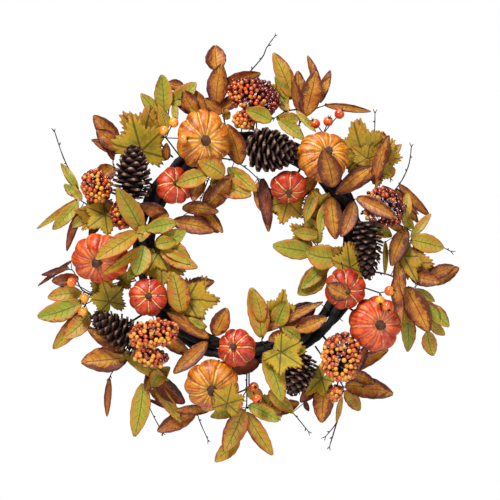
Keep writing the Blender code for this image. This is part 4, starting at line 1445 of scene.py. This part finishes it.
@dataclass(frozen=True)
class MapleBlade:
    """The toothed leaf with five points: a thin dished sheet."""

    spokes: int = 120
    rings: int = 6
    dish: float = 0.096
    thickness: float = 0.0005
    points: tuple[tuple[float, float, float], ...] = (
        (0.0, 1.0, 30.0), (60.0, 0.94, 29.0), (118.0, 0.76, 28.0))
    floor: float = 0.64

    def reach(self, degrees: float, tooth: float) -> float:
        """How far the rim is from the middle of the veins, as a share of the leaf's length.

        Args:
            degrees: the direction from the tip's.
            tooth: how deep its teeth are.

        Returns:
            The reach.
        """
        turn = abs(degrees)
        best = self.floor if turn < 140.0 else self.floor * (1.0 - 0.85 * (turn - 140.0) / 40.0)
        for place, length, breadth in self.points:
            off = abs(turn - place) / breadth
            best = max(best, self.floor + (length - self.floor) * (1.0 - off)) if off < 1.0 else best
        teeth = abs((degrees / 10.5) % 1.0 - 0.5) * 2.0
        return best * (1.0 - tooth * teeth)

    def shape(self, width: float, length: float, rng: random.Random) -> BMesh:
        """Model a leaf whose veins meet at the origin and whose tip is along +Y.

        Args:
            width: its width in metres.
            length: from there to its tip, in metres.
            rng: where its own irregularities come from.

        Returns:
            The leaf, with a flat surface map.
        """
        shape = blank()
        bmesh.ops.create_grid(shape, x_segments=self.spokes, y_segments=self.rings, size=0.5)
        uv, mark = shape.loops.layers.uv[SURFACE], shape.verts.layers.float[MARK]
        tooth = rng.uniform(0.12, 0.2)
        wave, phase = rng.uniform(0.4, 1.0), rng.uniform(0.0, 2.0 * math.pi)
        for corner in shape.verts:
            degrees = corner.co.x * 360.0
            share = corner.co.y + 0.5
            turn = math.radians(degrees)
            reach = self.reach(degrees, tooth) * share
            lift = self.dish * length * reach * abs(math.sin(turn))
            lift += 0.0022 * wave * share * math.sin(3.0 * turn + phase)
            corner[mark] = share
            corner.co = Vector((width * 0.68 * reach * math.sin(turn), length * reach * math.cos(turn), lift))
        span = 2.0 * max(length, width * 0.68)
        bmesh.ops.remove_doubles(shape, verts=shape.verts, dist=2e-5)
        for loop in (loop for face in shape.faces for loop in face.loops):
            loop[uv].uv = (0.5 + loop.vert.co.x / span, 0.5 + loop.vert.co.y / span)
        thicken(shape, self.thickness)
        return shape


@dataclass
class LeafSpray:
    """Black wire stems with twig ends, and the fabric leaves on them, each as the fields of a Leaf."""

    label: str
    mostly: LeafKind
    stems: tuple[tuple[tuple[float, float, float], ...], ...]
    leaves: tuple[tuple, ...]
    stem_radius: float = 0.0012
    stalk_radius: float = 0.0006
    bud_gap: float = 0.017
    leaf_growth: float = 1.08
    maple_growth: float = 1.12

    def nearest(self, lines: list[list[Vector]], point: Vector) -> Vector:
        """The point of the stems nearest to a leaf's base."""
        best = lines[0][0]
        for line in lines:
            for start, end in zip(line, line[1:]):
                step = end - start
                share = max(0.0, min(1.0, (point - start).dot(step) / step.length_squared))
                place = start + step * share
                if (point - place).length < (point - best).length:
                    best = place
        return best

    def add_stems(self, piece: Workpiece, lines: list[list[Vector]], rng: random.Random) -> None:
        """Draw the stems, with buds along them and a fork at each free end.

        Args:
            piece: where they go.
            lines: their centre lines.
            rng: where their irregularities come from.
        """
        for line in lines:
            fine = eased(line, 5)
            last = len(fine) - 1
            radii = [self.stem_radius * (1.0 - 0.45 * k / last) * rng.uniform(0.88, 1.16)
                     for k in range(last + 1)]
            piece.add(swept(fine, radii, 8), Layer.STEM.value)
            walked = 0.0
            for before, point in zip(fine, fine[1:]):
                walked += (point - before).length
                if walked > self.bud_gap:
                    walked = rng.uniform(-0.006, 0.0)
                    way = (point - before).normalized()
                    side = way.cross(FRONT).normalized() * rng.choice((-1.0, 1.0))
                    sprout = side * 0.9 + way * 0.8 + FRONT * rng.uniform(-0.3, 0.3)
                    tip = point + sprout * rng.uniform(0.0022, 0.0042)
                    bud = swept([point, point.lerp(tip, 0.55), tip], [0.0008, 0.0010, 0.0003], 6)
                    piece.add(bud, Layer.STEM.value)
            end, way = fine[-1], (fine[-1] - fine[-2]).normalized()
            for sign in (-1.0, 1.0):
                side = way.cross(FRONT).normalized() * sign
                tip = end + (way * 1.0 + side * 0.55) * rng.uniform(0.003, 0.006)
                fork = swept([end - way * 0.001, end.lerp(tip, 0.5), tip], [0.0006, 0.0007, 0.0003], 6)
                piece.add(fork, Layer.STEM.value)

    def build(self, ring: Ring) -> Workpiece:
        """Model the stems, then each leaf in its seat.

        Args:
            ring: the vine ring.

        Returns:
            The spray.
        """
        rng = random.Random(self.label)
        piece = Workpiece(f"foliage_{self.label}")
        lines = [[ring.spot(*place) for place in row] for row in self.stems]
        lines[0].insert(0, ring.wired_on(lines[0][0]))
        self.add_stems(piece, lines, rng)
        seating = Seating(f"leaf_spray_{self.label}", ring)
        for leaf in (Leaf(*row) for row in self.leaves):
            seat = seating.found(leaf)
            maple = leaf.kind is LeafKind.MAPLE
            grown = seat.length * (self.maple_growth if maple else self.leaf_growth)
            width = leaf.width * grown / seat.length * MM
            blade = (MapleBlade() if maple else OvalBlade()).shape(width, grown, rng)
            bmesh.ops.transform(blade, matrix=seat.placed(), verts=blade.verts)
            tint = rng.random()
            for corner in blade.verts:
                corner[blade.verts.layers.float[TINT]] = tint
            piece.add(blade, Layer[leaf.kind.name].value)
            foot = self.nearest(lines, seat.base)
            if (foot - seat.base).length > 0.0008:
                inner = seat.base + seat.along * 0.002
                bend = foot.lerp(seat.base, 0.55) + seat.along * 0.001
                stalk = eased([foot, bend, inner], 3)
                piece.add(swept(stalk, [self.stalk_radius] * len(stalk), 6), Layer.STEM.value)
        return piece

    def dress(self, piece: Workpiece, wardrobe: Wardrobe) -> None:
        """Print the leaves and blacken the stems."""
        slot = "leaf_green" if self.mostly is LeafKind.GREEN else "leaf_orange"
        piece.finish(slot, BODY, f"leaf_spray_{self.label}",
                     [wardrobe.twig, wardrobe.green, wardrobe.orange, wardrobe.maroon, wardrobe.maple])


# ---- the layout ----
G, O, M, A = LeafKind.GREEN, LeafKind.ORANGE, LeafKind.MAROON, LeafKind.MAPLE
PUMPKINS = (
    Pumpkin("01", 337, 15, 78, (0.2, -0.08), PumpkinLook.GOLD, 0, 1.12, 10),
    Pumpkin("02", 39, 15, 78, (0.3, 0.32), PumpkinLook.GOLD, 0, 0.96, 10),
    Pumpkin("03", 310, -14, 55, (0.22, 0.22), PumpkinLook.RED, 0, 1, 8),
    Pumpkin("04", 33, -49, 53, (0.05, -0.75), PumpkinLook.RED, 4, 1, 8),
    Pumpkin("05", 266, 61, 84, (-0.16, -0.32), PumpkinLook.ORANGE, -10, 0.86, 9),
    Pumpkin("06", 244, 8, 56, (0.08, 0.14), PumpkinLook.RED, 0, 1, 8),
    Pumpkin("07", 187, -9, 56, (-0.34, 0.14), PumpkinLook.RED, 10, 1, 8),
    Pumpkin("08", 195, 51, 79, (0.0, -0.3), PumpkinLook.GOLD, -14, 0.98, 9),
    Pumpkin("09", 113, -4, 60, (0.12, -0.18), PumpkinLook.RED, 16, 1, 8),
    Pumpkin("10", 121, 58, 78, (0.32, -0.06), PumpkinLook.ORANGE, -8, 1.03, 10),
)
CONES = (
    Pinecone("01", 303, 46, 80, 58, 4, 8, -12),
    Pinecone("02", 14, -10, 72, 66, 98, 25, 0),
    Pinecone("03", 91, 18, 88, 46, 180, -8, 0),
    Pinecone("04", 238, 71, 90, 54, 302, 0, -30),
    Pinecone("05", 159, 42, 64, 52, 200, 10, -20),
)
BERRY_CLUSTERS = (
    BerryCluster("01", (
        Lobe(2, 66, 41, 28, 20, 6, (0.45, 1.25)),
        Lobe(358, 32, 18, 16, 0, 8, (0.0, 0.8)),
    )),
    BerryCluster("02", (
        Lobe(292, 84, 23, 26, 330, 4, (-0.05, 1.0)),
        Lobe(284, 38, 15, 22, 340, 8, (0.2, 1.2)),
    )),
    BerryCluster("03", (
        Lobe(228, 30, 38, 22, 350, 42, (0.0, 1.0)),
        Lobe(222, 57, 26, 15, 10, 36, (0.1, 1.1)),
    )),
    BerryCluster("04", (
        Lobe(140, 52, 31, 38, 0, 38, (0.0, 0.95)),
        Lobe(149, 90, 9, 14, 20, 24, (0.0, 0.9)),
    )),
    BerryCluster("05", (
        Lobe(73, 50, 34, 30, 30, 10, (0.4, 1.2), 8.0),
    )),
)
HIP_SPRIGS = (
    HipSprig("01", (323, 43, 54), ((324, 54, 46), (329, 56, 40), (329, 28, 70)), ripe=(-0.15, 0.05)),
    HipSprig("02", (33, 44, -12), ((32, 62, 6), (34, 80, 2), (28, 50, 0))),
    HipSprig("03", (254, 84, -10), ((259, 108, -4), (253, 96, 0), (249, 104, 2)), ripe=(-0.1, 0.1)),
    HipSprig("04", (109, 44, 43), ((107, 56, 50), (112, 48, 58), (113, 60, 60))),
    HipSprig("05", (180, 46, -10), ((178, 47, 12), (184, 70, 44), (177, 64, 20))),
)
LEAF_SPRAYS = (
    LeafSpray("outer_01", G, (
        ((22, 42, -12), (19, 59, -12), (16, 73, -10)),
        ((19, 59, -12), (15, 51, -4), (11, 37, 10)),
        ((22, 42, -12), (25, 67, -14), (28, 81, -16)),
        ((25, 67, -14), (25, 88, -16)),
    ), (
        (G, 16, 73, 337, 65, 22, -10, -6), (G, 16, 71, 323, 38, 14, -10, 0),
        (O, 21, 56, 346, 47, 13, -12, 4), (O, 23, 55, 14, 61, 26, -12, -2),
        (O, 24, 96, 342, 50, 11, -16, -20), (G, 16, 50, 337, 33, 13, -4, -20),
        (G, 13, 37, 129, 43, 17, 4, 12), (G, 19, 57, 138, 39, 9, -10, 4), (O, 26, 81, 18, 46, 13, -16, -26),
        (G, 10, 32, 293, 37, 20, 26, 30), (O, 28, 81, 98, 62, 10, -16, -14),
        (O, 21, 68, 350, 47, 18, -14, -14), (G, 15, 61, 321, 35, 17, -12, -8),
        (O, 24, 85, 35, 33, 14, -18, -20), (G, 21, 47, 270, 30, 17, -4, 4),
    )),
    LeafSpray("outer_02", O, (
        ((54, 47, -14), (57, 75, -10)),
        ((54, 47, -14), (50, 66, -16), (49, 86, -20), (43, 115, -24)),
        ((57, 75, -10), (64, 75, -18)),
    ), (
        (A, 51, 64, 348, 51, 49, -10, 2), (A, 53, 61, 307, 29, 29, -10, -4), (G, 49, 84, 158, 36, 7, -20, 4),
        (O, 58, 75, 359, 44, 22, -8, -10), (G, 58, 77, 42, 35, 13, -10, -18),
        (G, 59, 81, 161, 18, 13, -12, -20), (O, 58, 63, 238, 64, 23, -4, 22),
        (O, 57, 72, 189, 34, 10, -8, 4), (A, 50, 60, 344, 48, 57, -8, 6), (A, 56, 80, 31, 32, 44, -16, -10),
        (O, 63, 49, 17, 68, 16, -2, 8), (G, 54, 41, 68, 29, 16, -10, -4), (A, 59, 63, 111, 23, 34, -14, -10),
        (O, 58, 0, 53, 54, 17, 10, 20),
    )),
    LeafSpray("outer_03", O, (
        ((72, 40, -20), (68, 77, -20), (63, 106, -24), (58, 125, -28)),
        ((72, 40, -20), (79, 58, -20), (86, 97, -26), (91, 141, -32)),
        ((79, 58, -20), (83, 68, -18), (88, 78, -16), (95, 85, -18), (101, 94, -20)),
    ), (
        (O, 67, 83, 135, 60, 13, -20, -30), (G, 71, 89, 187, 40, 14, -14, -4),
        (G, 86, 82, 41, 41, 11, -14, -22), (O, 79, 50, 123, 29, 11, -12, -6),
        (O, 83, 76, 203, 54, 22, -10, 8), (G, 87, 81, 104, 46, 23, -14, -14),
        (G, 91, 81, 135, 53, 17, -16, -30), (A, 93, 71, 153, 42, 34, -10, -2),
        (O, 100, 84, 101, 41, 20, -16, -6), (O, 101, 122, 56, 40, 17, -30, -36),
        (G, 104, 94, 121, 32, 11, -20, -26), (G, 87, 44, 182, 46, 7, -4, 12),
        (O, 68, 77, 147, 55, 14, -22, -26), (O, 65, 60, 128, 62, 10, -20, -24),
        (G, 79, 27, 121, 32, 17, -12, -8), (O, 87, 70, 200, 32, 16, -14, -10),
        (A, 95, 82, 153, 36, 52, -16, -10), (O, 95, 67, 126, 47, 20, -18, -14),
        (G, 78, 75, 144, 23, 13, -16, -14),
    )),
    LeafSpray("outer_04", G, (
        ((101, 56, -16), (104, 81, -18), (108, 104, -20), (114, 132, -24)),
        ((104, 81, -18), (112, 94, -20)),
    ), (
        (O, 102, 61, 173, 59, 14, -6, 44), (O, 104, 81, 153, 67, 29, -14, -6),
        (G, 108, 113, 131, 45, 20, -20, -24), (G, 112, 93, 178, 54, 19, -20, -26),
        (G, 115, 133, 167, 34, 19, -24, -30), (G, 112, 130, 133, 28, 13, -26, -34),
        (O, 95, 62, 174, 54, 16, -6, 4), (G, 107, 109, 141, 38, 18, -20, -22),
        (O, 99, 110, 69, 38, 17, -22, -26), (G, 109, 76, 172, 38, 20, -12, -8),
    )),
    LeafSpray("outer_05", O, (
        ((146, 63, -20), (146, 91, -22), (150, 107, -24), (153, 129, -28), (158, 143, -32)),
        ((146, 63, -20), (151, 74, -22)),
        ((153, 129, -28), (158, 159, -34)),
    ), (
        (O, 141, 76, 62, 61, 17, -24, -26), (M, 144, 84, 32, 57, 17, -24, -14),
        (O, 145, 90, 100, 65, 26, -20, -14), (G, 146, 99, 144, 31, 17, -22, -26),
        (O, 151, 73, 185, 51, 26, -18, -12), (G, 148, 101, 191, 36, 7, -22, -26),
        (A, 151, 63, 224, 33, 34, -14, -10), (O, 142, 110, 90, 35, 23, -18, -14),
        (M, 149, 74, 197, 37, 18, -22, -24), (G, 146, 96, 148, 26, 12, -22, -24),
        (M, 154, 63, 215, 33, 16, -16, -16), (O, 141, 76, 115, 39, 16, -14, -12),
    )),
    LeafSpray("outer_06", G, (
        ((181, 51, -14), (181, 77, -14), (183, 120, -18)),
        ((181, 51, -14), (190, 71, -24), (196, 92, -24), (197, 101, -24), (192, 133, -32)),
        ((181, 77, -14), (175, 83, -16), (167, 84, -22), (162, 128, -32)),
    ), (
        (G, 180, 74, 118, 45, 20, -8, 0), (A, 173, 78, 85, 31, 37, -14, -4),
        (G, 183, 77, 251, 43, 16, -16, -24), (G, 182, 80, 204, 62, 27, -12, 0),
        (G, 183, 123, 225, 45, 19, -18, -26), (G, 181, 85, 148, 67, 20, -14, -10),
        (O, 198, 98, 244, 57, 22, -24, -28), (O, 194, 90, 271, 45, 13, -18, -8),
        (M, 199, 103, 289, 65, 7, -26, -36), (M, 160, 83, 158, 15, 7, -26, -28),
        (G, 172, 55, 133, 44, 18, -8, -4), (A, 188, 70, 13, 31, 39, 54, 62),
        (G, 175, 63, 302, 26, 17, -6, 2), (O, 173, 84, 75, 42, 18, -12, -8),
    )),
    LeafSpray("outer_07", G, (
        ((226, 60, -22), (220, 78, -22), (217, 88, -22), (213, 116, -28), (205, 144, -34)),
        ((226, 60, -22), (228, 83, -22), (228, 110, -26), (227, 125, -28)),
    ), (
        (O, 228, 84, 264, 62, 32, -18, -14), (O, 229, 80, 304, 66, 11, -22, -28),
        (O, 227, 124, 184, 52, 9, -28, -30), (G, 227, 84, 121, 43, 10, -16, -10),
        (G, 216, 86, 51, 31, 17, -22, -14), (G, 218, 96, 189, 72, 24, -20, -14),
        (G, 216, 86, 145, 67, 16, -22, -18), (O, 218, 61, 205, 39, 18, -16, -12),
        (G, 231, 83, 123, 74, 17, -14, -10), (M, 216, 78, 132, 53, 22, -20, -18),
        (O, 215, 98, 128, 48, 13, -22, -22), (G, 215, 64, 215, 26, 20, -12, -6),
    )),
    LeafSpray("outer_08", G, (
        ((255, 51, -22), (252, 76, -22), (251, 98, -20)),
        ((252, 76, -22), (256, 97, -24), (263, 106, -26), (262, 132, -32)),
    ), (
        (G, 255, 98, 262, 46, 20, -20, -18), (G, 252, 102, 252, 62, 26, -18, -16),
        (G, 249, 105, 219, 64, 20, -20, -26), (G, 248, 96, 225, 49, 23, -18, -10),
        (M, 260, 98, 264, 36, 17, -24, -18), (M, 266, 105, 233, 57, 6, -26, -32),
        (A, 253, 64, 13, 24, 43, -8, 4), (A, 256, 37, 73, 20, 29, -12, -6), (O, 225, 27, 121, 47, 18, 0, 6),
        (A, 249, 63, 342, 34, 44, -6, 6), (O, 230, 82, 303, 58, 20, -10, -4),
        (M, 264, 110, 253, 38, 8, -20, -22),
    )),
    LeafSpray("outer_09", G, (
        ((284, 55, -22), (285, 87, -22), (286, 104, -20)),
        ((286, 104, -20), (289, 109, -22), (296, 147, -30), (301, 177, -34)),
    ), (
        (G, 289, 109, 326, 42, 11, -22, -28), (G, 286, 99, 316, 23, 11, -18, -22),
        (A, 283, 74, 343, 25, 49, -16, -8), (G, 286, 105, 234, 68, 9, -20, -26),
        (G, 285, 103, 223, 50, 17, -18, -14), (M, 283, 98, 198, 59, 11, -20, -24),
        (A, 281, 76, 225, 25, 26, -18, -18), (G, 284, 79, 233, 41, 14, -18, -20),
        (A, 283, 61, 232, 31, 47, -12, -6), (G, 287, 103, 307, 27, 12, -20, -24),
        (M, 281, 65, 217, 27, 12, -14, -16),
    )),
    LeafSpray("outer_10", G, (
        ((320, 45, -18), (325, 56, -18), (331, 84, -20), (335, 97, -22)),
        ((320, 45, -18), (317, 71, -20), (310, 88, -24), (303, 82, -26), (301, 75, -26)),
    ), (
        (G, 325, 56, 325, 59, 19, -16, -10), (G, 328, 78, 356, 51, 23, -16, -8),
        (G, 333, 84, 177, 28, 9, -18, -8), (O, 338, 101, 277, 23, 14, -24, -26),
        (G, 331, 86, 53, 46, 22, -18, -14), (O, 317, 21, 359, 23, 11, -10, -2),
        (A, 317, 71, 314, 45, 66, -16, -4), (O, 309, 90, 317, 50, 22, -24, -26),
        (O, 308, 92, 279, 34, 9, -26, -32), (O, 301, 76, 225, 33, 23, -24, -18),
        (M, 303, 81, 331, 22, 7, -24, -18), (O, 307, 83, 312, 40, 22, -18, -16),
        (A, 312, 57, 345, 53, 68, -12, 2), (O, 307, 78, 290, 40, 12, -22, -24),
        (G, 325, 56, 343, 28, 16, -16, -14),
    )),
    LeafSpray("outer_11", O, (
        ((349, 46, -16), (349, 78, -14), (350, 107, -16)),
        ((349, 63, -15), (354, 72, -22), (360, 101, -26), (4, 125, -30), (5, 139, -32), (7, 158, -36)),
        ((349, 46, -16), (343, 53, -16)),
    ), (
        (O, 347, 59, 8, 55, 26, -8, 0), (O, 350, 107, 354, 35, 26, -16, -22),
        (O, 350, 81, 69, 57, 20, -14, -10), (O, 349, 53, 64, 29, 17, -14, -6),
        (O, 342, 52, 294, 45, 17, -16, -14), (O, 343, 54, 321, 39, 17, -18, -22),
        (M, 357, 83, 126, 15, 7, -24, -20), (G, 351, 36, 331, 16, 11, -14, -6),
        (O, 347, 62, 356, 43, 18, -18, -22), (O, 339, 56, 328, 35, 22, -10, -4),
        (O, 355, 63, 39, 38, 20, -14, -12), (G, 342, 43, 308, 31, 16, -12, -8),
        (O, 349, 46, 308, 31, 18, -8, 0),
    )),
    LeafSpray("inner_01", O, (
        ((56, 2, 2), (61, 2, 3), (65, 10, 3)),
        ((61, 2, 3), (59, -18, 3), (59, -34, 0)),
    ), (
        (O, 54, -5, 345, 51, 29, 52, 78), (O, 58, -14, 174, 57, 24, 10, 16), (O, 66, 12, 200, 51, 20, 8, 22),
        (O, 65, 18, 118, 60, 19, 10, 34), (A, 59, -35, 337, 24, 37, 4, 12), (O, 44, -48, 42, 36, 18, 0, 4),
        (A, 40, -66, 196, 34, 47, 4, 8), (G, 49, -22, 201, 49, 16, 6, 16), (A, 65, -37, 318, 33, 44, 0, 6),
        (G, 60, -26, 191, 41, 13, 10, 18),
    )),
    LeafSpray("inner_02", G, (
        ((96, -33, -12), (92, -48, -10), (83, -62, -10)),
        ((96, -33, -12), (104, -39, -10)),
        ((96, -33, -12), (94, -22, 6)),
    ), (
        (G, 86, -51, 332, 42, 19, -6, 4), (A, 80, -67, 307, 32, 40, -6, 2), (G, 94, -60, 280, 55, 24, -6, 2),
        (G, 105, -40, 226, 50, 29, -6, 6), (G, 96, -24, 280, 44, 32, 12, 20),
        (A, 95, -13, 22, 22, 43, 8, 16), (A, 101, -5, 352, 38, 44, 14, 20), (O, 116, 5, 299, 34, 22, 62, 70),
        (G, 80, -52, 279, 33, 16, 0, 6), (G, 100, -35, 227, 52, 18, 2, 10),
    )),
    LeafSpray("inner_03", O, (
        ((170, -7, 2), (172, -20, 0), (166, -32, -6), (157, -33, -10)),
        ((170, -7, 2), (166, -4, 3)),
    ), (
        (G, 172, -23, 348, 68, 26, 2, 6), (A, 157, -44, 11, 41, 37, -6, 2), (G, 161, -32, 21, 38, 23, -4, 8),
        (M, 155, -36, 63, 49, 29, -8, -6), (O, 157, -28, 76, 49, 14, -8, 4),
        (G, 171, -2, 161, 70, 24, 12, 26), (M, 175, 12, 252, 42, 22, 4, 2), (G, 166, -7, 98, 43, 26, 10, 20),
        (A, 163, 3, 123, 37, 52, 6, 14), (O, 171, -31, 64, 90, 14, -4, 2), (G, 170, -45, 345, 42, 18, 6, 14),
        (O, 150, -17, 68, 44, 20, 2, 8), (A, 158, 7, 222, 36, 39, 6, 12), (G, 151, -2, 304, 29, 16, 8, 16),
        (O, 168, -18, 76, 33, 16, 4, 12),
    )),
    LeafSpray("inner_04", O, (
        ((225, -21, 2), (214, -15, 3), (203, -13, 3)),
        ((225, -21, 2), (233, -39, -2), (235, -47, -6)),
    ), (
        (O, 238, -46, 78, 38, 17, -4, 2), (A, 228, -42, 95, 38, 63, -2, 4), (O, 202, -18, 26, 40, 23, 6, 16),
        (O, 204, -11, 302, 66, 17, 6, 14), (G, 208, -23, 299, 27, 10, 10, 18),
        (G, 226, -19, 347, 56, 29, 6, 16), (O, 204, -5, 227, 61, 20, 10, 16),
        (O, 238, -33, 73, 50, 17, -2, 2), (A, 230, -37, 90, 47, 47, 0, 6), (O, 202, -17, 25, 39, 18, 4, 12),
    )),
    LeafSpray("inner_05", G, (
        ((284, -7, 2), (277, -7, 3), (271, -14, 3)),
        ((284, -7, 2), (288, -22, 0), (290, -39, -2)),
    ), (
        (G, 279, 4, 332, 65, 26, 12, 26), (O, 291, -29, 295, 42, 19, 6, 12),
        (G, 289, -42, 258, 42, 20, 14, 20), (G, 272, -18, 66, 45, 22, 8, 14),
        (G, 278, 8, 236, 66, 23, 40, 64), (G, 271, -2, 235, 65, 14, 12, 22),
        (G, 271, -2, 194, 40, 27, 22, 32), (A, 267, -22, 149, 29, 55, 0, 4),
        (G, 269, -25, 116, 56, 20, 10, 16), (G, 275, -22, 125, 53, 22, 8, 16),
        (A, 261, -24, 115, 39, 57, -2, 4), (G, 283, -7, 212, 26, 17, 14, 22),
        (G, 262, -1, 225, 31, 16, 18, 28), (O, 283, -10, 53, 27, 17, 10, 16),
        (G, 272, -19, 79, 28, 18, 14, 22),
    )),
    LeafSpray("inner_06", O, (
        ((340, -15, 2), (336, -28, 3), (330, -37, 2), (322, -48, -2), (309, -58, -6)),
        ((340, -15, 2), (349, -24, 3), (358, -38, 3), (7, -52, 0)),
    ), (
        (G, 330, -33, 253, 42, 22, 48, 58), (O, 326, -35, 204, 32, 17, 36, 44),
        (O, 313, -63, 44, 58, 20, 0, 14), (G, 330, -42, 110, 58, 26, 8, 16),
        (G, 347, -35, 132, 47, 19, 10, 20), (O, 8, -57, 174, 39, 17, 4, 12), (O, 10, -52, 172, 71, 16, 6, 8),
        (O, 310, -61, 139, 46, 14, -4, 0), (O, 303, -59, 129, 42, 17, -6, -10),
        (G, 335, -29, 289, 20, 14, 20, 40), (O, 354, -32, 342, 56, 26, 10, 22),
        (O, 12, -62, 144, 53, 20, -4, 0), (G, 341, -44, 299, 39, 25, 40, 56),
        (O, 313, -69, 40, 53, 22, 8, 22), (O, 289, -36, 103, 58, 22, 4, 8), (O, 301, -41, 96, 49, 18, 8, 12),
        (G, 3, -70, 313, 44, 20, 6, 14), (M, 11, -51, 173, 63, 16, 6, 14),
    )),
)


# ---- the studio ----
@dataclass(frozen=True)
class Lamp:
    """A soft square lamp: its place from the wreath's middle, its side, its watts and its linear colour."""

    name: str
    place: tuple[float, float, float]
    size: float
    power: float
    colour: Colour

    def hang(self, middle: Vector) -> None:
        """Hang the lamp and turn it to the wreath's middle."""
        light = bpy.data.lights.new(self.name, "AREA")
        light.shape = "SQUARE"
        light.size = self.size
        light.energy = self.power
        light.color = self.colour
        lamp = bpy.data.objects.new(self.name, light)
        lamp.location = middle + Vector(self.place)
        lamp.rotation_euler = (middle - lamp.location).to_track_quat("-Z", "Y").to_euler()
        bpy.context.scene.collection.objects.link(lamp)


LAMPS = (
    Lamp("key", (-0.9, -2.0, 2.0), 0.8, 99.0, (1.0, 0.985, 0.96)),
    Lamp("fill", (1.7, -2.2, 0.0), 1.2, 24.0, (0.97, 0.985, 1.0)),
    Lamp("top", (0.1, -0.3, 2.2), 1.0, 20.0, (1.0, 1.0, 1.0)),
)


@dataclass
class Studio:
    """A plain pale set with soft lamps, and the camera straight in front of the wreath."""

    floor_level: float = -0.75
    floor_size: float = 3.0
    distance: float = 4.0
    subject_y: float = -0.06
    view_width: float = 0.7175
    aside: float = 0.0014
    below: float = 0.0029
    sensor: float = 36.0
    wall_light: float = 1.0
    room_light: float = 0.13

    def build(self, ring: Ring) -> None:
        """Set up the floor, the room's light, the lamps and the camera.

        Args:
            ring: the vine ring.
        """
        scene = bpy.context.scene
        shape = blank()
        bmesh.ops.create_grid(shape, x_segments=2, y_segments=2, size=self.floor_size / 2.0,
                              matrix=Matrix.Translation((0.0, 0.0, self.floor_level)))
        mesh = template(shape)
        mesh.name = "studio_floor"
        graph = Graph("studio_pale")
        cloud = graph.noise(6.0, 3.0)
        tone = graph.ramp(cloud, [(0.3, (236, 235, 232)), (0.7, (242, 241, 239))])
        graph.surface_is(tone, cloud * 0.1 + 0.7, Specular_IOR_Level=0.3)
        mesh.materials.append(graph.material)
        floor = bpy.data.objects.new("studio_floor", mesh)
        scene.collection.objects.link(floor)

        world = bpy.data.worlds.new("studio")
        world.use_nodes = True
        nodes, links = world.node_tree.nodes, world.node_tree.links
        background = nodes["Background"]
        background.inputs["Color"].default_value = (1.0, 1.0, 1.0, 1.0)
        path = nodes.new("ShaderNodeLightPath")
        choice = nodes.new("ShaderNodeMapRange")
        choice.inputs["To Min"].default_value = self.room_light
        choice.inputs["To Max"].default_value = self.wall_light
        links.new(path.outputs["Is Camera Ray"], choice.inputs["Value"])
        links.new(choice.outputs["Result"], background.inputs["Strength"])
        scene.world = world

        middle = ring.centre
        for lamp in LAMPS:
            lamp.hang(middle)

        camera = bpy.data.objects.new("camera", bpy.data.cameras.new("camera"))
        camera.data.sensor_width = self.sensor
        camera.data.lens = self.sensor * self.distance / self.view_width
        camera.data.clip_end = 30.0
        camera.location = (middle.x + self.aside, self.subject_y - self.distance, middle.z - self.below)
        camera.rotation_euler = (math.pi / 2.0, 0.0, 0.0)
        scene.collection.objects.link(camera)
        scene.camera = camera
        scene.view_settings.view_transform = "Standard"
        scene.view_settings.look = "None"


def main() -> None:
    """Build and dress every sub-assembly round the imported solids."""
    logging.basicConfig(level=logging.INFO, format="%(name)s: %(message)s")
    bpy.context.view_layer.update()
    ring = Ring.measured()
    wardrobe = Wardrobe()
    LOG.info("ring radius %.1f mm, bundle %.1f mm", ring.radius / MM, ring.bundle / MM)

    vines = VineRing()
    vines.dress(vines.build(), wardrobe)
    hanger = Hanger()
    hanger.dress(hanger.build(), wardrobe)
    for assembly in (*PUMPKINS, *CONES, *BERRY_CLUSTERS, *HIP_SPRIGS, *LEAF_SPRAYS):
        assembly.dress(assembly.build(ring), wardrobe)
    Studio().build(ring)


if __name__ == "__main__":
    main()
